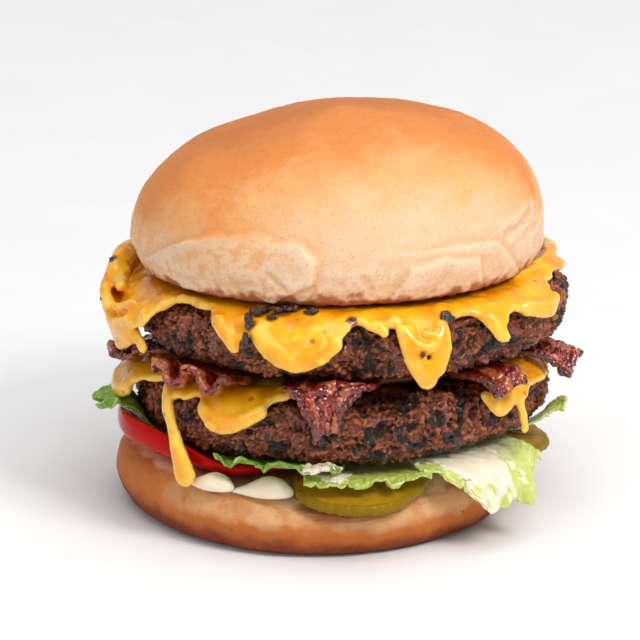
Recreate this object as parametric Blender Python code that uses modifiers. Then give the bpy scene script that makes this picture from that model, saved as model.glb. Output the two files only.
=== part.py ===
"""Double cheeseburger with bacon, built as the separate pieces that a cook stacks.

Metres, +Z up. The origin lies under the centre of the burger, on the table, and
the front of the burger looks along -Y. Bearings are in degrees from the front,
towards +X. The toppings lean the patties back a little, so everything above the
bottom bun is shaped in a leaning frame whose z = 0 is the lower patty's underside.
"""

import math
from collections import namedtuple

import bmesh
import bpy
from mathutils import Euler, Matrix, Vector, noise

MM = 0.001
GAP = 0.4 * MM

# Bottom bun
HEEL_CENTRE = Vector((-6.0, 0.5)) * MM
HEEL_RADIUS = 53.5 * MM
HEEL_FOOT = 47 * MM
HEEL_THICKNESS = 15.6 * MM
HEEL_WAIST = 8.8 * MM
HEEL_DISH = 0.9 * MM
HEEL_DENT = 2.4 * MM
HEEL_DENT_BEARING = 7.0
HEEL_RISE = 2.0 * MM
HEEL_RISE_BEARING = -66.0
HEEL_RISE_REACH = 45.0

# The leaning frame of everything above the bottom bun
STACK_BASE = 21.6 * MM
LEAN_BACK = math.radians(3.0)
LEAN_LEFT = math.radians(1.0)

# Patties
PATTY_RELIEF = 2.0 * MM
Patty = namedtuple("Patty", "centre radius floor thickness top_edge under_edge seed")

CHEESE_THICKNESS = 2.0 * MM
CHEESE_CLEARANCE = 0.5 * MM
BRINK_SHARE = 3.0 / 7.0
BACON_THICKNESS = 2.0 * MM
LEAF_THICKNESS = 0.8 * MM

LOWER = Patty(
    centre=Vector((1.0, -0.5)) * MM,
    radius=54.5 * MM,
    floor=0.0,
    thickness=18.0 * MM,
    top_edge=6.5 * MM,
    under_edge=8.0 * MM,
    seed=3.7,
)
BACON_FLOOR = LOWER.thickness + CHEESE_CLEARANCE + CHEESE_THICKNESS + GAP
UPPER = Patty(
    centre=Vector((4.2, -3.0)) * MM,
    radius=57.0 * MM,
    floor=BACON_FLOOR + BACON_THICKNESS + 1.25 * GAP,
    thickness=16.5 * MM,
    top_edge=6.0 * MM,
    under_edge=8.5 * MM,
    seed=9.2,
)
CROWN_FLOOR = UPPER.floor + UPPER.thickness + CHEESE_CLEARANCE + CHEESE_THICKNESS + GAP

# Top bun
CROWN_CENTRE = Vector((0.8, -2.5)) * MM
CROWN_RADIUS = 54.0 * MM
CROWN_HEIGHT = 40.2 * MM
CROWN_TUCK = 5.0 * MM
CROWN_WAIST = 9.5 * MM
CROWN_FULLNESS = 2.2
CROWN_TILT = 0.045

# Edge of each melted slice: bearing, length past the patty's rounded top edge, outward flare
LOWER_HEM = (
    (-172.0, 1.5 * MM, 0.8 * MM),
    (-151.0, -3.5 * MM, 0.5 * MM),
    (-131.0, 4.0 * MM, 1.0 * MM),
    (-112.0, -3.0 * MM, 0.8 * MM),
    (-96.0, -1.0 * MM, 2.0 * MM),
    (-79.0, 2.2 * MM, 3.5 * MM),
    (-66.0, -1.5 * MM, 2.0 * MM),
    (-54.0, -4.0 * MM, 1.0 * MM),
    (-44.5, 16.5 * MM, 2.4 * MM),
    (-36.0, 1.6 * MM, 0.8 * MM),
    (-27.0, 1.2 * MM, 0.8 * MM),
    (-12.0, -5.0 * MM, 0.3 * MM),
    (0.0, -8.0 * MM, 0.0 * MM),
    (24.0, -8.0 * MM, 0.0 * MM),
    (35.0, -3.5 * MM, 0.4 * MM),
    (45.0, 1.4 * MM, 0.8 * MM),
    (49.5, 0.0 * MM, 1.0 * MM),
    (54.5, 9.0 * MM, 1.6 * MM),
    (60.0, -1.0 * MM, 1.2 * MM),
    (67.0, 0.0 * MM, 1.0 * MM),
    (80.0, -4.0 * MM, 0.6 * MM),
    (108.0, 2.5 * MM, 1.0 * MM),
    (127.0, -3.5 * MM, 0.8 * MM),
    (146.0, 6.0 * MM, 1.2 * MM),
    (165.0, -3.0 * MM, 0.8 * MM),
)
UPPER_HEM = (
    (-160.0, 8.0 * MM, 1.6 * MM),
    (-144.0, -2.5 * MM, 0.6 * MM),
    (-122.0, 2.0 * MM, 1.0 * MM),
    (-105.0, -1.0 * MM, 2.5 * MM),
    (-89.0, 6.5 * MM, 6.6 * MM),
    (-72.0, 9.2 * MM, 7.3 * MM),
    (-60.0, 3.0 * MM, 4.2 * MM),
    (-50.0, -5.0 * MM, 1.2 * MM),
    (-41.0, -4.4 * MM, 0.6 * MM),
    (-31.5, 3.0 * MM, 0.8 * MM),
    (-25.0, -0.6 * MM, 0.8 * MM),
    (-15.5, 5.8 * MM, 1.2 * MM),
    (-6.0, 0.5 * MM, 0.8 * MM),
    (1.0, -3.6 * MM, 0.4 * MM),
    (7.0, -1.5 * MM, 0.4 * MM),
    (10.5, -2.0 * MM, 0.6 * MM),
    (17.0, 10.5 * MM, 1.6 * MM),
    (24.0, -2.4 * MM, 0.8 * MM),
    (30.0, -4.0 * MM, 0.4 * MM),
    (38.0, 2.8 * MM, 1.0 * MM),
    (46.0, -2.0 * MM, 0.6 * MM),
    (57.0, 0.0 * MM, 0.5 * MM),
    (69.0, -5.5 * MM, 0.1 * MM),
    (86.0, -7.8 * MM, 0.0 * MM),
    (106.0, -5.0 * MM, 0.3 * MM),
    (124.0, 0.5 * MM, 0.8 * MM),
    (140.0, -2.0 * MM, 1.0 * MM),
    (158.0, 5.5 * MM, 3.0 * MM),
    (178.0, -3.0 * MM, 1.0 * MM),
)

# Flat pieces that run out from under a patty: a path of (radius, height) pairs
Strip = namedtuple("Strip", "bearing half_width path arc taper wave waves roll")
BACON_MID = BACON_FLOOR + 0.5 * BACON_THICKNESS
BACON = {
    "bacon_left": Strip(
        -83.0, 9.0, ((10, 0), (30, 0), (46, 0), (54, 0.2), (60.5, -0.8)), 0, 0.2, 1.2, 1.0, 0.4
    ),
    "bacon_front_left": Strip(
        -46.5, 17.0, ((36, 0), (44, 0), (50, 0), (55, 0.2), (59, 0.4)), 1, 0.1, 2.6, 2.3, 0.2
    ),
    "bacon_front": Strip(
        -6.0, 12.5, ((16, 0), (34, 0), (50, 0), (57, 1.2), (61, -2.2), (61.8, -9.0)), 0, 0.75, 0.5, 1.0, 0.7
    ),
    "bacon_front_right": Strip(
        42.0, 7.5, ((29, 0), (40, 0), (50, 0), (57, -0.8), (59.5, -3.0)), 0, 0.3, 1.0, 1.0, 0.0
    ),
    "bacon_right": Strip(
        73.5, 7.2, ((12, 0), (30, 0), (48, 0), (55.5, -1.4), (61.5, -4.6)), 0, 0.25, 1.2, 1.0, 0.6
    ),
    "bacon_back_right": Strip(
        160.0, 12.0, ((14, 0), (32, 0), (49, 0), (57, 0.2), (62, -2.6)), 0, 0.2, 1.4, 1.2, 0.0
    ),
    "bacon_back_left": Strip(
        -136.0, 10.5, ((26, 0), (38, 0), (49, 0), (57, 0.3), (61, -1.4)), 0, 0.3, 1.0, 1.0, 0.9
    ),
}
LETTUCE = {
    "lettuce_left": Strip(
        -80.0, 10.0, ((26, -0.7), (45, -0.6), (49.5, -0.1), (53, 2.4), (56.3, 6.5), (61.3, 8.6), (65.5, 6.6)), 1, 0.3, 0.4, 1.5, 0.1
    ),
    "lettuce_front_left": Strip(
        -19.5, 19.0, ((28, -0.7), (40, -0.7), (47, -0.65), (50, -0.1), (53, 0.95), (55.8, 1.5)), 1, 0.1, 0.7, 3.5, 0.1
    ),
    "lettuce_front": Strip(
        6.5, 18.5, ((36, -3.2), (41, -3.2), (47, -3.0), (53, -3.4), (57, -4.8)), 1, 0.1, 1.4, 3.0, 0.4
    ),
    "lettuce_right": Strip(
        47.5, 18.5, ((24, -1.0), (38, -1.0), (47, -1.2), (54, -3.0), (58.5, -8.5), (59.5, -13.5)), 1, 0.3, 1.5, 1.6, 0.6
    ),
    "lettuce_back": Strip(
        172.0, 30.0, ((22, -1.0), (36, -1.0), (46, -1.0), (54, -1.2), (60, -4.0)), 1, 0.2, 1.8, 4.0, 0.0
    ),
}

# Slices on the bottom bun, bent and swollen where they reach past the patty
Slice = namedtuple("Slice", "centre radius thickness height bend_from bend_to bend swell seed")
SLICES = {
    "tomato": Slice(
        Vector((-29.5, -10.5)) * MM, 30 * MM, 2.8 * MM, -3.0 * MM, 48.5 * MM, 61 * MM, 7.0 * MM, 3.2 * MM, 1.0
    ),
    "pickle_front": Slice(
        Vector((4.6, -39.5)) * MM, 17.8 * MM, 2.8 * MM, -6.3 * MM, 43 * MM, 60 * MM, -3.6 * MM, 0.0, 3.0
    ),
    "pickle_right": Slice(
        Vector((35.0, -9.5)) * MM, 19.0 * MM, 2.8 * MM, -4.6 * MM, 42 * MM, 58 * MM, -1.4 * MM, 0.0, 4.0
    ),
}

# Sauce on the bottom bun: centre, half sizes, level above the bun
Dollop = namedtuple("Dollop", "centre half_length half_depth height level turn seed")
SAUCE = {
    "sauce_left": Dollop(Vector((-33.4, -42.4)) * MM, 6.3 * MM, 3.2 * MM, 4.0 * MM, 1.0 * MM, -28.0, 1.0),
    "sauce_front": Dollop(Vector((-19.8, -46.4)) * MM, 7.2 * MM, 3.5 * MM, 5.0 * MM, 0.4 * MM, -12.0, 2.0),
}


def smoothstep(low, high, value):
    """Rise from 0 to 1 as a value goes from low to high."""
    share = min(max((value - low) / (high - low), 0.0), 1.0)
    return share * share * (3.0 - 2.0 * share)


def heading(bearing):
    """Unit vector in plan along a bearing."""
    angle = math.radians(bearing)
    return Vector((math.sin(angle), -math.cos(angle)))


def bearing_of(offset):
    """Bearing of an offset in plan."""
    return math.degrees(math.atan2(offset.x, -offset.y))


def gathered(bearing, share=0.4):
    """Move evenly spaced bearings towards the front, where the lobes are finer."""
    return bearing - math.degrees(share * math.sin(math.radians(bearing)))


def turn_between(first, second):
    """Difference of two bearings, from -180 to 180."""
    return (first - second + 180.0) % 360.0 - 180.0


def along(points, share):
    """Point on a smooth curve through the given points, for a share from 0 to 1."""
    place = min(max(share, 0.0), 1.0) * (len(points) - 1)
    index = min(int(place), len(points) - 2)
    local = place - index
    before = points[max(index - 1, 0)]
    start = points[index]
    end = points[index + 1]
    after = points[min(index + 2, len(points) - 1)]
    return 0.5 * (
        2.0 * start
        + (end - before) * local
        + (2.0 * before - 5.0 * start + 4.0 * end - after) * local**2
        + (3.0 * start - before - 3.0 * end + after) * local**3
    )


def stack_matrix():
    """Place of the leaning frame in the burger."""
    lean = Euler((-LEAN_BACK, -LEAN_LEFT, 0.0)).to_matrix().to_4x4()
    return Matrix.Translation((0.0, 0.0, STACK_BASE)) @ lean


def spun(profile, segments):
    """Body turned about Z from (radius, height) pairs that start and end on the axis."""
    bm = bmesh.new()
    verts = [bm.verts.new((0.0, -radius, height)) for radius, height in profile]
    edges = [bm.edges.new(pair) for pair in zip(verts, verts[1:])]
    bmesh.ops.spin(
        bm,
        geom=verts + edges,
        cent=(0.0, 0.0, 0.0),
        axis=(0.0, 0.0, 1.0),
        angle=2.0 * math.pi,
        steps=segments,
        use_merge=True,
    )
    bmesh.ops.remove_doubles(bm, verts=bm.verts, dist=1e-7)
    return bm


def reshape(bm, place):
    """Move every vertex to where a function of its first position puts it."""
    for vert in bm.verts:
        vert.co = place(vert.co.copy())
    bmesh.ops.recalc_face_normals(bm, faces=bm.faces)
    bmesh.ops.triangulate(bm, faces=bm.faces)


def patty_rim(patty, bearing):
    """Rim radius of a patty at a bearing, with none of the crust's relief."""
    angle = math.radians(bearing)
    lobes = 0.012 * math.sin(2.0 * angle + patty.seed) + 0.009 * math.sin(3.0 * angle + 2.0 * patty.seed)
    return patty.radius * (1.0 + lobes)


def patty_profile(patty):
    """Half section of a patty: flat faces and rounded edges."""
    points = [(0.0, 0.0), (patty.radius - patty.under_edge - 6.0 * MM, 0.0)]
    for step in range(5):
        angle = math.radians(90.0 * step / 4)
        inset = patty.under_edge * (1.0 - math.sin(angle))
        points.append((patty.radius - inset, patty.under_edge * (1.0 - math.cos(angle))))
    for step in range(5):
        angle = math.radians(90.0 * step / 4)
        inset = patty.top_edge * (1.0 - math.cos(angle))
        height = patty.thickness - patty.top_edge * (1.0 - math.sin(angle))
        points.append((patty.radius - inset, height))
    points.append((patty.radius - patty.top_edge - 6.0 * MM, patty.thickness))
    points.append((0.0, patty.thickness))
    return points


def patty_relief(patty, point):
    """Depth of the crust's hollows at a point of the rim."""
    coarse = noise.noise(point * 95.0 + Vector((patty.seed, 0.0, 0.0)))
    fine = noise.noise(point * 210.0 + Vector((0.0, patty.seed, 0.0)))
    return PATTY_RELIEF * min(max(0.45 + 0.8 * coarse + 0.45 * fine, 0.0), 1.0)


def patty_body(patty, segments):
    """Patty with flat faces and a craggy rim."""
    bm = spun(patty_profile(patty), segments)

    def place(point):
        radius = math.hypot(point.x, point.y)
        bearing = bearing_of(point)
        flat = patty.radius - max(patty.top_edge, patty.under_edge)
        depth = patty_relief(patty, point) * smoothstep(flat - 1.0 * MM, flat + 4.0 * MM, radius)
        wide = radius * patty_rim(patty, bearing) / patty.radius - depth
        spot = patty.centre + heading(bearing) * wide
        return Vector((spot.x, spot.y, patty.floor + point.z))

    reshape(bm, place)
    return bm


def hem_at(hem, bearing):
    """Length and flare of a sheet's edge at a bearing, eased between its given places."""
    first_bearing = hem[0][0]
    turned = (bearing - first_bearing) % 360.0 + first_bearing
    closed = hem + ((first_bearing + 360.0, *hem[0][1:]),)
    for before, after in zip(closed, closed[1:]):
        if turned <= after[0]:
            share = smoothstep(before[0], after[0], turned)
            return before[1] + (after[1] - before[1]) * share, before[2] + (after[2] - before[2]) * share
    return hem[0][1:]


def drape_path(patty, bearing, run):
    """Point and outward slope of the sheet's inner face, a run from the patty's axis."""
    flat = patty_rim(patty, bearing) - patty.top_edge
    level = patty.floor + patty.thickness
    rounding = patty.top_edge + CHEESE_CLEARANCE
    if run <= flat:
        return run, level + CHEESE_CLEARANCE, 0.0
    angle = min((run - flat) / rounding, 0.5 * math.pi)
    rest = max(run - flat - 0.5 * math.pi * rounding, 0.0)
    radius = flat + rounding * math.sin(angle)
    height = level - patty.top_edge + rounding * math.cos(angle) - rest
    return radius, height, angle


def cheese_body(patty, hem, segments, rings, core):
    """Slice of cheese melted over a patty, its edge hanging in lobes."""
    outer = [(0.0, 1.0)] + [(1.0 + ring, 1.0) for ring in range(rings + 1)]
    inner = [(radius, 0.0) for radius, side in reversed(outer)]
    bm = spun(outer + [(rings + 1.35, 0.5)] + inner, segments)

    def place(point):
        ring = math.hypot(point.x, point.y)
        bearing = gathered(bearing_of(point))
        drop, flare = hem_at(hem, bearing)
        edge = patty_rim(patty, bearing) + 0.57 * patty.top_edge - 1.0 * MM + drop
        share = min(max((ring - 1.0) / rings, 0.0), 1.0)
        brink = min(patty_rim(patty, bearing) - patty.top_edge + 4.0 * MM, edge - 1.5 * MM)
        if share < BRINK_SHARE:
            run = min(ring, 1.0) * core + (brink - core) * share / BRINK_SHARE
        else:
            run = brink + (edge - brink) * (share - BRINK_SHARE) / (1.0 - BRINK_SHARE)
        radius, height, angle = drape_path(patty, bearing, run)
        hang = smoothstep(0.35, 0.95, share)
        thick = CHEESE_THICKNESS * (1.0 + 0.5 * hang * min(max(drop, 0.0) / (9.0 * MM), 1.0))
        radius += flare * hang + point.z * thick * math.sin(angle)
        height += point.z * thick * math.cos(angle)
        if ring > rings + 1.1:
            radius += 0.3 * thick * math.cos(angle)
            height -= 0.3 * thick * math.sin(angle)
        spot = patty.centre + heading(bearing) * radius
        return Vector((spot.x, spot.y, height))

    reshape(bm, place)
    return bm


def strip_place(strip, centre, base, share, side):
    """Point of a flat piece's middle surface, for shares along and across it."""
    path = [Vector(pair) * MM for pair in strip.path]
    spot = along(path, share)
    free = smoothstep(49 * MM, 60 * MM, spot.x)
    reach = strip.half_width * MM * (1.0 - strip.taper * smoothstep(0.3, 1.0, share) ** 1.5)
    sideways = side * reach
    ripple = math.sin(math.pi * strip.waves * side + 2.0 * strip.roll)
    swing = strip.wave * MM * free * ripple
    if strip.arc:
        outermost = path[-1].x
        across = strip.bearing + math.degrees(sideways / outermost)
        scallop = 0.8 * MM * free * math.sin(2.0 * math.pi * strip.waves * side + strip.roll)
        plan = centre + heading(across) * (spot.x + scallop)
    else:
        plan = centre + heading(strip.bearing) * spot.x + heading(strip.bearing + 90.0) * sideways
    fold = strip.roll * MM * 1.5 * free * side
    return Vector((plan.x, plan.y, base + spot.y + swing + fold))


def strip_body(strip, centre, base, steps_along, steps_across):
    """Wavy sheet of one layer of triangles, to be thickened to both sides alike."""
    bm = bmesh.new()
    bmesh.ops.create_grid(bm, x_segments=steps_along, y_segments=steps_across, size=0.5)

    def place(point):
        return strip_place(strip, centre, base, point.x + 0.5, 2.0 * point.y)

    reshape(bm, place)
    return bm


def slice_body(piece, segments, rings):
    """Round slice with a soft edge, bent where it reaches past the patty."""
    half = 0.5 * piece.thickness
    edge = 0.6 * half
    face = [ring * piece.radius for ring in rings] + [piece.radius - edge]
    profile = [(0.0, -half)] + [(ring, -half) for ring in face]
    profile += [(piece.radius, -0.35 * half), (piece.radius, 0.35 * half)]
    profile += [(ring, half) for ring in reversed(face)] + [(0.0, half)]
    bm = spun(profile, segments)

    def place(point):
        angle = math.radians(bearing_of(point))
        wide = 1.0 + 0.03 * math.sin(2.0 * angle + piece.seed) + 0.015 * math.sin(5.0 * angle)
        plan = piece.centre + Vector((point.x, point.y)) * wide
        away = (plan - LOWER.centre).length
        bend = piece.bend * smoothstep(piece.bend_from, piece.bend_to, away)
        fuller = 1.0 + piece.swell / piece.thickness * smoothstep(50 * MM, 58 * MM, away)
        return Vector((plan.x, plan.y, piece.height + bend + point.z * fuller))

    reshape(bm, place)
    return bm


def dollop_body(dollop):
    """Soft flattened drop of sauce that rests on the bottom bun."""
    bm = bmesh.new()
    bmesh.ops.create_icosphere(bm, subdivisions=2, radius=1.0)
    turn = Matrix.Rotation(math.radians(dollop.turn), 3, "Z")

    def place(point):
        lump = 1.0 + 0.12 * noise.noise(point * 1.4 + Vector((dollop.seed, 0.0, 0.0)))
        height = max(point.z, -0.35)
        local = Vector((point.x * dollop.half_length, point.y * dollop.half_depth, 0.0)) * lump
        local = turn @ local
        level = HEEL_THICKNESS + dollop.level + (height + 0.35) / 1.35 * dollop.height
        return Vector((dollop.centre.x + local.x, dollop.centre.y + local.y, level))

    reshape(bm, place)
    return bm


def heel_body(segments):
    """Bottom bun: a round low slab, dished by its load and dented under the front pickle."""
    profile = [
        (0.0, 0.0),
        (0.5 * HEEL_FOOT, 0.0),
        (HEEL_FOOT, 0.0),
        (HEEL_FOOT + 3.4 * MM, 1.3 * MM),
        (HEEL_RADIUS - 1.2 * MM, 4.2 * MM),
        (HEEL_RADIUS, HEEL_WAIST),
        (HEEL_RADIUS - 0.8 * MM, HEEL_THICKNESS - 3.2 * MM),
        (HEEL_RADIUS - 3.2 * MM, HEEL_THICKNESS - 0.8 * MM),
        (HEEL_RADIUS - 7.0 * MM, HEEL_THICKNESS),
        (HEEL_RADIUS - 16.0 * MM, HEEL_THICKNESS),
        (0.4 * HEEL_RADIUS, HEEL_THICKNESS),
        (0.0, HEEL_THICKNESS),
    ]
    bm = spun(profile, segments)

    def place(point):
        radius = math.hypot(point.x, point.y)
        bearing = bearing_of(point)
        angle = math.radians(bearing)
        wide = 1.0 + 0.010 * math.sin(2.0 * angle + 0.8) + 0.006 * math.sin(5.0 * angle + 2.0)
        upper = smoothstep(HEEL_WAIST, HEEL_THICKNESS, point.z)
        dish = HEEL_DISH * (1.0 - smoothstep(20 * MM, 46 * MM, radius))
        away = abs(turn_between(bearing, HEEL_DENT_BEARING)) / 30.0
        dent = HEEL_DENT * (1.0 - smoothstep(0.3, 1.0, away)) * smoothstep(40 * MM, 50 * MM, radius)
        aside = abs(turn_between(bearing, HEEL_RISE_BEARING)) / HEEL_RISE_REACH
        rise = HEEL_RISE * (1.0 - smoothstep(0.2, 1.0, aside)) * smoothstep(36 * MM, 48 * MM, radius)
        spot = HEEL_CENTRE + heading(bearing) * radius * wide
        return Vector((spot.x, spot.y, point.z + upper * (rise - dish - dent)))

    reshape(bm, place)
    return bm


def crown_profile():
    """Half section of the top bun: cut face, tucked rim and full dome."""
    points = [(0.0, 0.0), (0.5 * CROWN_RADIUS, 0.0), (CROWN_RADIUS - CROWN_TUCK, 0.0)]
    for step in range(1, 4):
        angle = math.radians(90.0 * step / 4)
        wide = CROWN_RADIUS - CROWN_TUCK * (1.0 - math.sin(angle))
        points.append((wide, CROWN_WAIST * (1.0 - math.cos(angle))))
    rise = CROWN_HEIGHT - CROWN_WAIST
    for step in range(12):
        angle = math.radians(90.0 * step / 12)
        wide = CROWN_RADIUS * math.cos(angle) ** (2.0 / CROWN_FULLNESS)
        points.append((wide, CROWN_WAIST + rise * math.sin(angle) ** (2.0 / CROWN_FULLNESS)))
    points.append((0.0, CROWN_HEIGHT))
    return points


def crown_body(segments):
    """Top bun: a full dome, a little higher to the right, with a soft uneven skin."""
    bm = spun(crown_profile(), segments)

    def place(point):
        radius = math.hypot(point.x, point.y)
        bearing = bearing_of(point)
        angle = math.radians(bearing)
        upper = smoothstep(0.5 * CROWN_WAIST, CROWN_WAIST, point.z)
        wide = 1.0 + 0.010 * math.sin(2.0 * angle + 2.2) + 0.006 * math.sin(3.0 * angle)
        swell = 1.1 * MM * noise.noise(point * 38.0 + Vector((4.0, 0.0, 0.0)))
        spot = CROWN_CENTRE + heading(bearing) * (radius * wide + upper * swell * min(radius / (20 * MM), 1.0))
        raised = upper * (CROWN_TILT * point.x + swell * point.z / CROWN_HEIGHT)
        return Vector((spot.x, spot.y, CROWN_FLOOR + point.z + raised))

    reshape(bm, place)
    return bm


def food_material(name, colour, roughness):
    """Plain opaque surface of one colour."""
    material = bpy.data.materials.new(name)
    material.use_nodes = True
    shader = material.node_tree.nodes["Principled BSDF"]
    shader.inputs["Base Color"].default_value = (*colour, 1.0)
    shader.inputs["Roughness"].default_value = roughness
    shader.inputs["Metallic"].default_value = 0.0
    material.diffuse_color = (*colour, 1.0)
    return material


def add_piece(collection, name, bm, material, thickness=0.0):
    """Turn a finished mesh into a named object, thickened if it is a sheet."""
    mesh = bpy.data.meshes.new(name)
    bm.to_mesh(mesh)
    bm.free()
    mesh.materials.append(material)
    piece = bpy.data.objects.new(name, mesh)
    collection.objects.link(piece)
    if thickness:
        shell = piece.modifiers.new("thickness", "SOLIDIFY")
        shell.thickness = thickness
        shell.offset = 0.0
        shell.use_even_offset = True
    return piece


def leaned(bm):
    """Put a piece shaped in the leaning frame into the burger's frame."""
    bmesh.ops.transform(bm, matrix=stack_matrix(), verts=bm.verts)
    return bm


def build_buns(collection):
    """Bottom bun and top bun."""
    add_piece(collection, "bun_heel", heel_body(48), food_material("bun_heel", (0.78, 0.50, 0.26), 0.75))
    crown = leaned(crown_body(48))
    add_piece(collection, "bun_crown", crown, food_material("bun_crown", (0.82, 0.48, 0.22), 0.6))


def build_patties(collection):
    """Two ground-beef patties."""
    meat = (0.16, 0.065, 0.035)
    lower = leaned(patty_body(LOWER, 52))
    add_piece(collection, "patty_lower", lower, food_material("patty_lower", meat, 0.55))
    upper = leaned(patty_body(UPPER, 52))
    add_piece(collection, "patty_upper", upper, food_material("patty_upper", meat, 0.55))


def build_cheese(collection):
    """One melted slice of cheese over each patty."""
    colour = (0.95, 0.47, 0.035)
    lower = leaned(cheese_body(LOWER, LOWER_HEM, 56, 7, 38 * MM))
    add_piece(collection, "cheese_lower", lower, food_material("cheese_lower", colour, 0.3))
    upper = leaned(cheese_body(UPPER, UPPER_HEM, 62, 7, 40 * MM))
    add_piece(collection, "cheese_upper", upper, food_material("cheese_upper", colour, 0.3))


def build_bacon(collection):
    """Strips of bacon between the patties, their ends curling out all round."""
    centre = Vector((3.0, -2.0)) * MM
    for name, strip in BACON.items():
        steps = (5, 13) if strip.arc else (7, 4)
        bm = leaned(strip_body(strip, centre, BACON_MID, *steps))
        material = food_material(name, (0.42, 0.11, 0.05), 0.4)
        add_piece(collection, name, bm, material, BACON_THICKNESS)


def build_lettuce(collection):
    """Leaves under the lower patty, ruffled where they come out."""
    for name, strip in LETTUCE.items():
        pale = name == "lettuce_right"
        colour = (0.62, 0.72, 0.36) if pale else (0.28, 0.50, 0.09)
        steps = (12, 6) if len(strip.path) > 6 else (6, 11)
        bm = leaned(strip_body(strip, LOWER.centre, 0.0, *steps))
        add_piece(collection, name, bm, food_material(name, colour, 0.4), LEAF_THICKNESS)


def build_slices(collection):
    """Tomato and pickle slices on the bottom bun."""
    for name, piece in SLICES.items():
        red = name == "tomato"
        colour = (0.62, 0.06, 0.03) if red else (0.45, 0.44, 0.10)
        rings = (0.5, 0.62, 0.74, 0.87) if red else (0.5, 0.78)
        bm = leaned(slice_body(piece, 26, rings))
        add_piece(collection, name, bm, food_material(name, colour, 0.25))


def build_sauce(collection):
    """Dollops of white sauce at the bottom bun's front edge."""
    for name, dollop in SAUCE.items():
        add_piece(collection, name, dollop_body(dollop), food_material(name, (0.9, 0.85, 0.76), 0.35))


def main():
    for leftover in list(bpy.data.objects):
        bpy.data.objects.remove(leftover, do_unlink=True)
    collection = bpy.data.collections.new("double_cheeseburger")
    bpy.context.scene.collection.children.link(collection)
    build_buns(collection)
    build_patties(collection)
    build_cheese(collection)
    build_bacon(collection)
    build_lettuce(collection)
    build_slices(collection)
    build_sauce(collection)


main()
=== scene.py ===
"""Bacon double cheeseburger: the finished surfaces of the stacked pieces.

Metres, +Z up, the front of the burger looks along -Y. Bearings are in degrees
from the front, towards +X. Everything above the bottom bun is shaped in a
leaning frame whose z = 0 is the lower patty's underside.
"""

import itertools
import math
from collections import namedtuple

import bmesh
import bpy
import numpy as np
from bpy.props import FloatProperty, FloatVectorProperty, PointerProperty
from mathutils import Euler, Matrix, Vector


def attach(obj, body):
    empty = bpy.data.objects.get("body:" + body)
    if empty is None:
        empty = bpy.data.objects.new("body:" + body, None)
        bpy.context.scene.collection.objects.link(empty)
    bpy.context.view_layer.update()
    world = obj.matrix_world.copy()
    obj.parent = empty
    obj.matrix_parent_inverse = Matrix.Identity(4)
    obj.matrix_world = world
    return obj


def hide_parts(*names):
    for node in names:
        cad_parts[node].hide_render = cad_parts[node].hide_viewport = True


bl_info = {
    "name": "Double Cheeseburger",
    "version": (1, 0, 0),
    "blender": (4, 5, 0),
    "location": "View3D > Sidebar > Burger",
    "description": "Builds the surfaces of a bacon double cheeseburger over its solids",
    "category": "Mesh",
}

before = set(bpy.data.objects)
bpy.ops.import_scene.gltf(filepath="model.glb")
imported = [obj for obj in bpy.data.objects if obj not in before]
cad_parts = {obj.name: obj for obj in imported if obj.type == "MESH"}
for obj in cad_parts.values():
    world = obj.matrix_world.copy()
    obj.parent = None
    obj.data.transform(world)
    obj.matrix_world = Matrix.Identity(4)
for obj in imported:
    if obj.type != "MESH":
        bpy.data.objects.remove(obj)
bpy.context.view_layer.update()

MM = 0.001

# Bottom bun
HEEL_CENTRE = np.array((-6.0, 0.5)) * MM
HEEL_RADIUS = 53.5 * MM
HEEL_FOOT = 47 * MM
HEEL_THICKNESS = 15.6 * MM
HEEL_WAIST = 8.8 * MM
HEEL_DISH = 0.9 * MM
HEEL_DENT = 2.4 * MM
HEEL_DENT_BEARING = 7.0
HEEL_RISE = 2.0 * MM
HEEL_RISE_BEARING = -66.0
HEEL_RISE_REACH = 45.0

# The leaning frame of everything above the bottom bun
STACK_BASE = 21.6 * MM
LEAN_BACK = math.radians(3.0)
LEAN_LEFT = math.radians(1.0)

# Cheese before it melts together: rings and flat middle of a sheet, and grain of the melted skin
SHEET_RINGS = 20
SHEET_FLAT = 36 * MM
MELT_GRAIN = 0.56 * MM

# Patties, cheese and bacon
CHEESE_THICKNESS = 2.0 * MM
CHEESE_CLEARANCE = 0.5 * MM
BACON_THICKNESS = 2.0 * MM
Patty = namedtuple("Patty", "centre radius floor thickness top_edge under_edge seed")
LOWER = Patty(np.array((1.0, -0.5)) * MM, 54.5 * MM, 0.0, 18.0 * MM, 6.5 * MM, 8.0 * MM, 3.7)
BACON_FLOOR = LOWER.thickness + CHEESE_CLEARANCE + CHEESE_THICKNESS + 0.4 * MM
UPPER_FLOOR = BACON_FLOOR + BACON_THICKNESS + 0.5 * MM
UPPER = Patty(np.array((4.2, -3.0)) * MM, 57.0 * MM, UPPER_FLOOR, 16.5 * MM, 6.0 * MM, 8.5 * MM, 9.2)
CROWN_FLOOR = UPPER.floor + UPPER.thickness + CHEESE_CLEARANCE + CHEESE_THICKNESS + 0.4 * MM

# Top bun
CROWN_CENTRE = np.array((0.8, -2.5)) * MM
CROWN_RADIUS = 54.0 * MM
CROWN_HEIGHT = 40.2 * MM
CROWN_TUCK = 5.0 * MM
CROWN_WAIST = 9.5 * MM
CROWN_FULLNESS = 2.2
CROWN_TILT = 0.045

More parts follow.
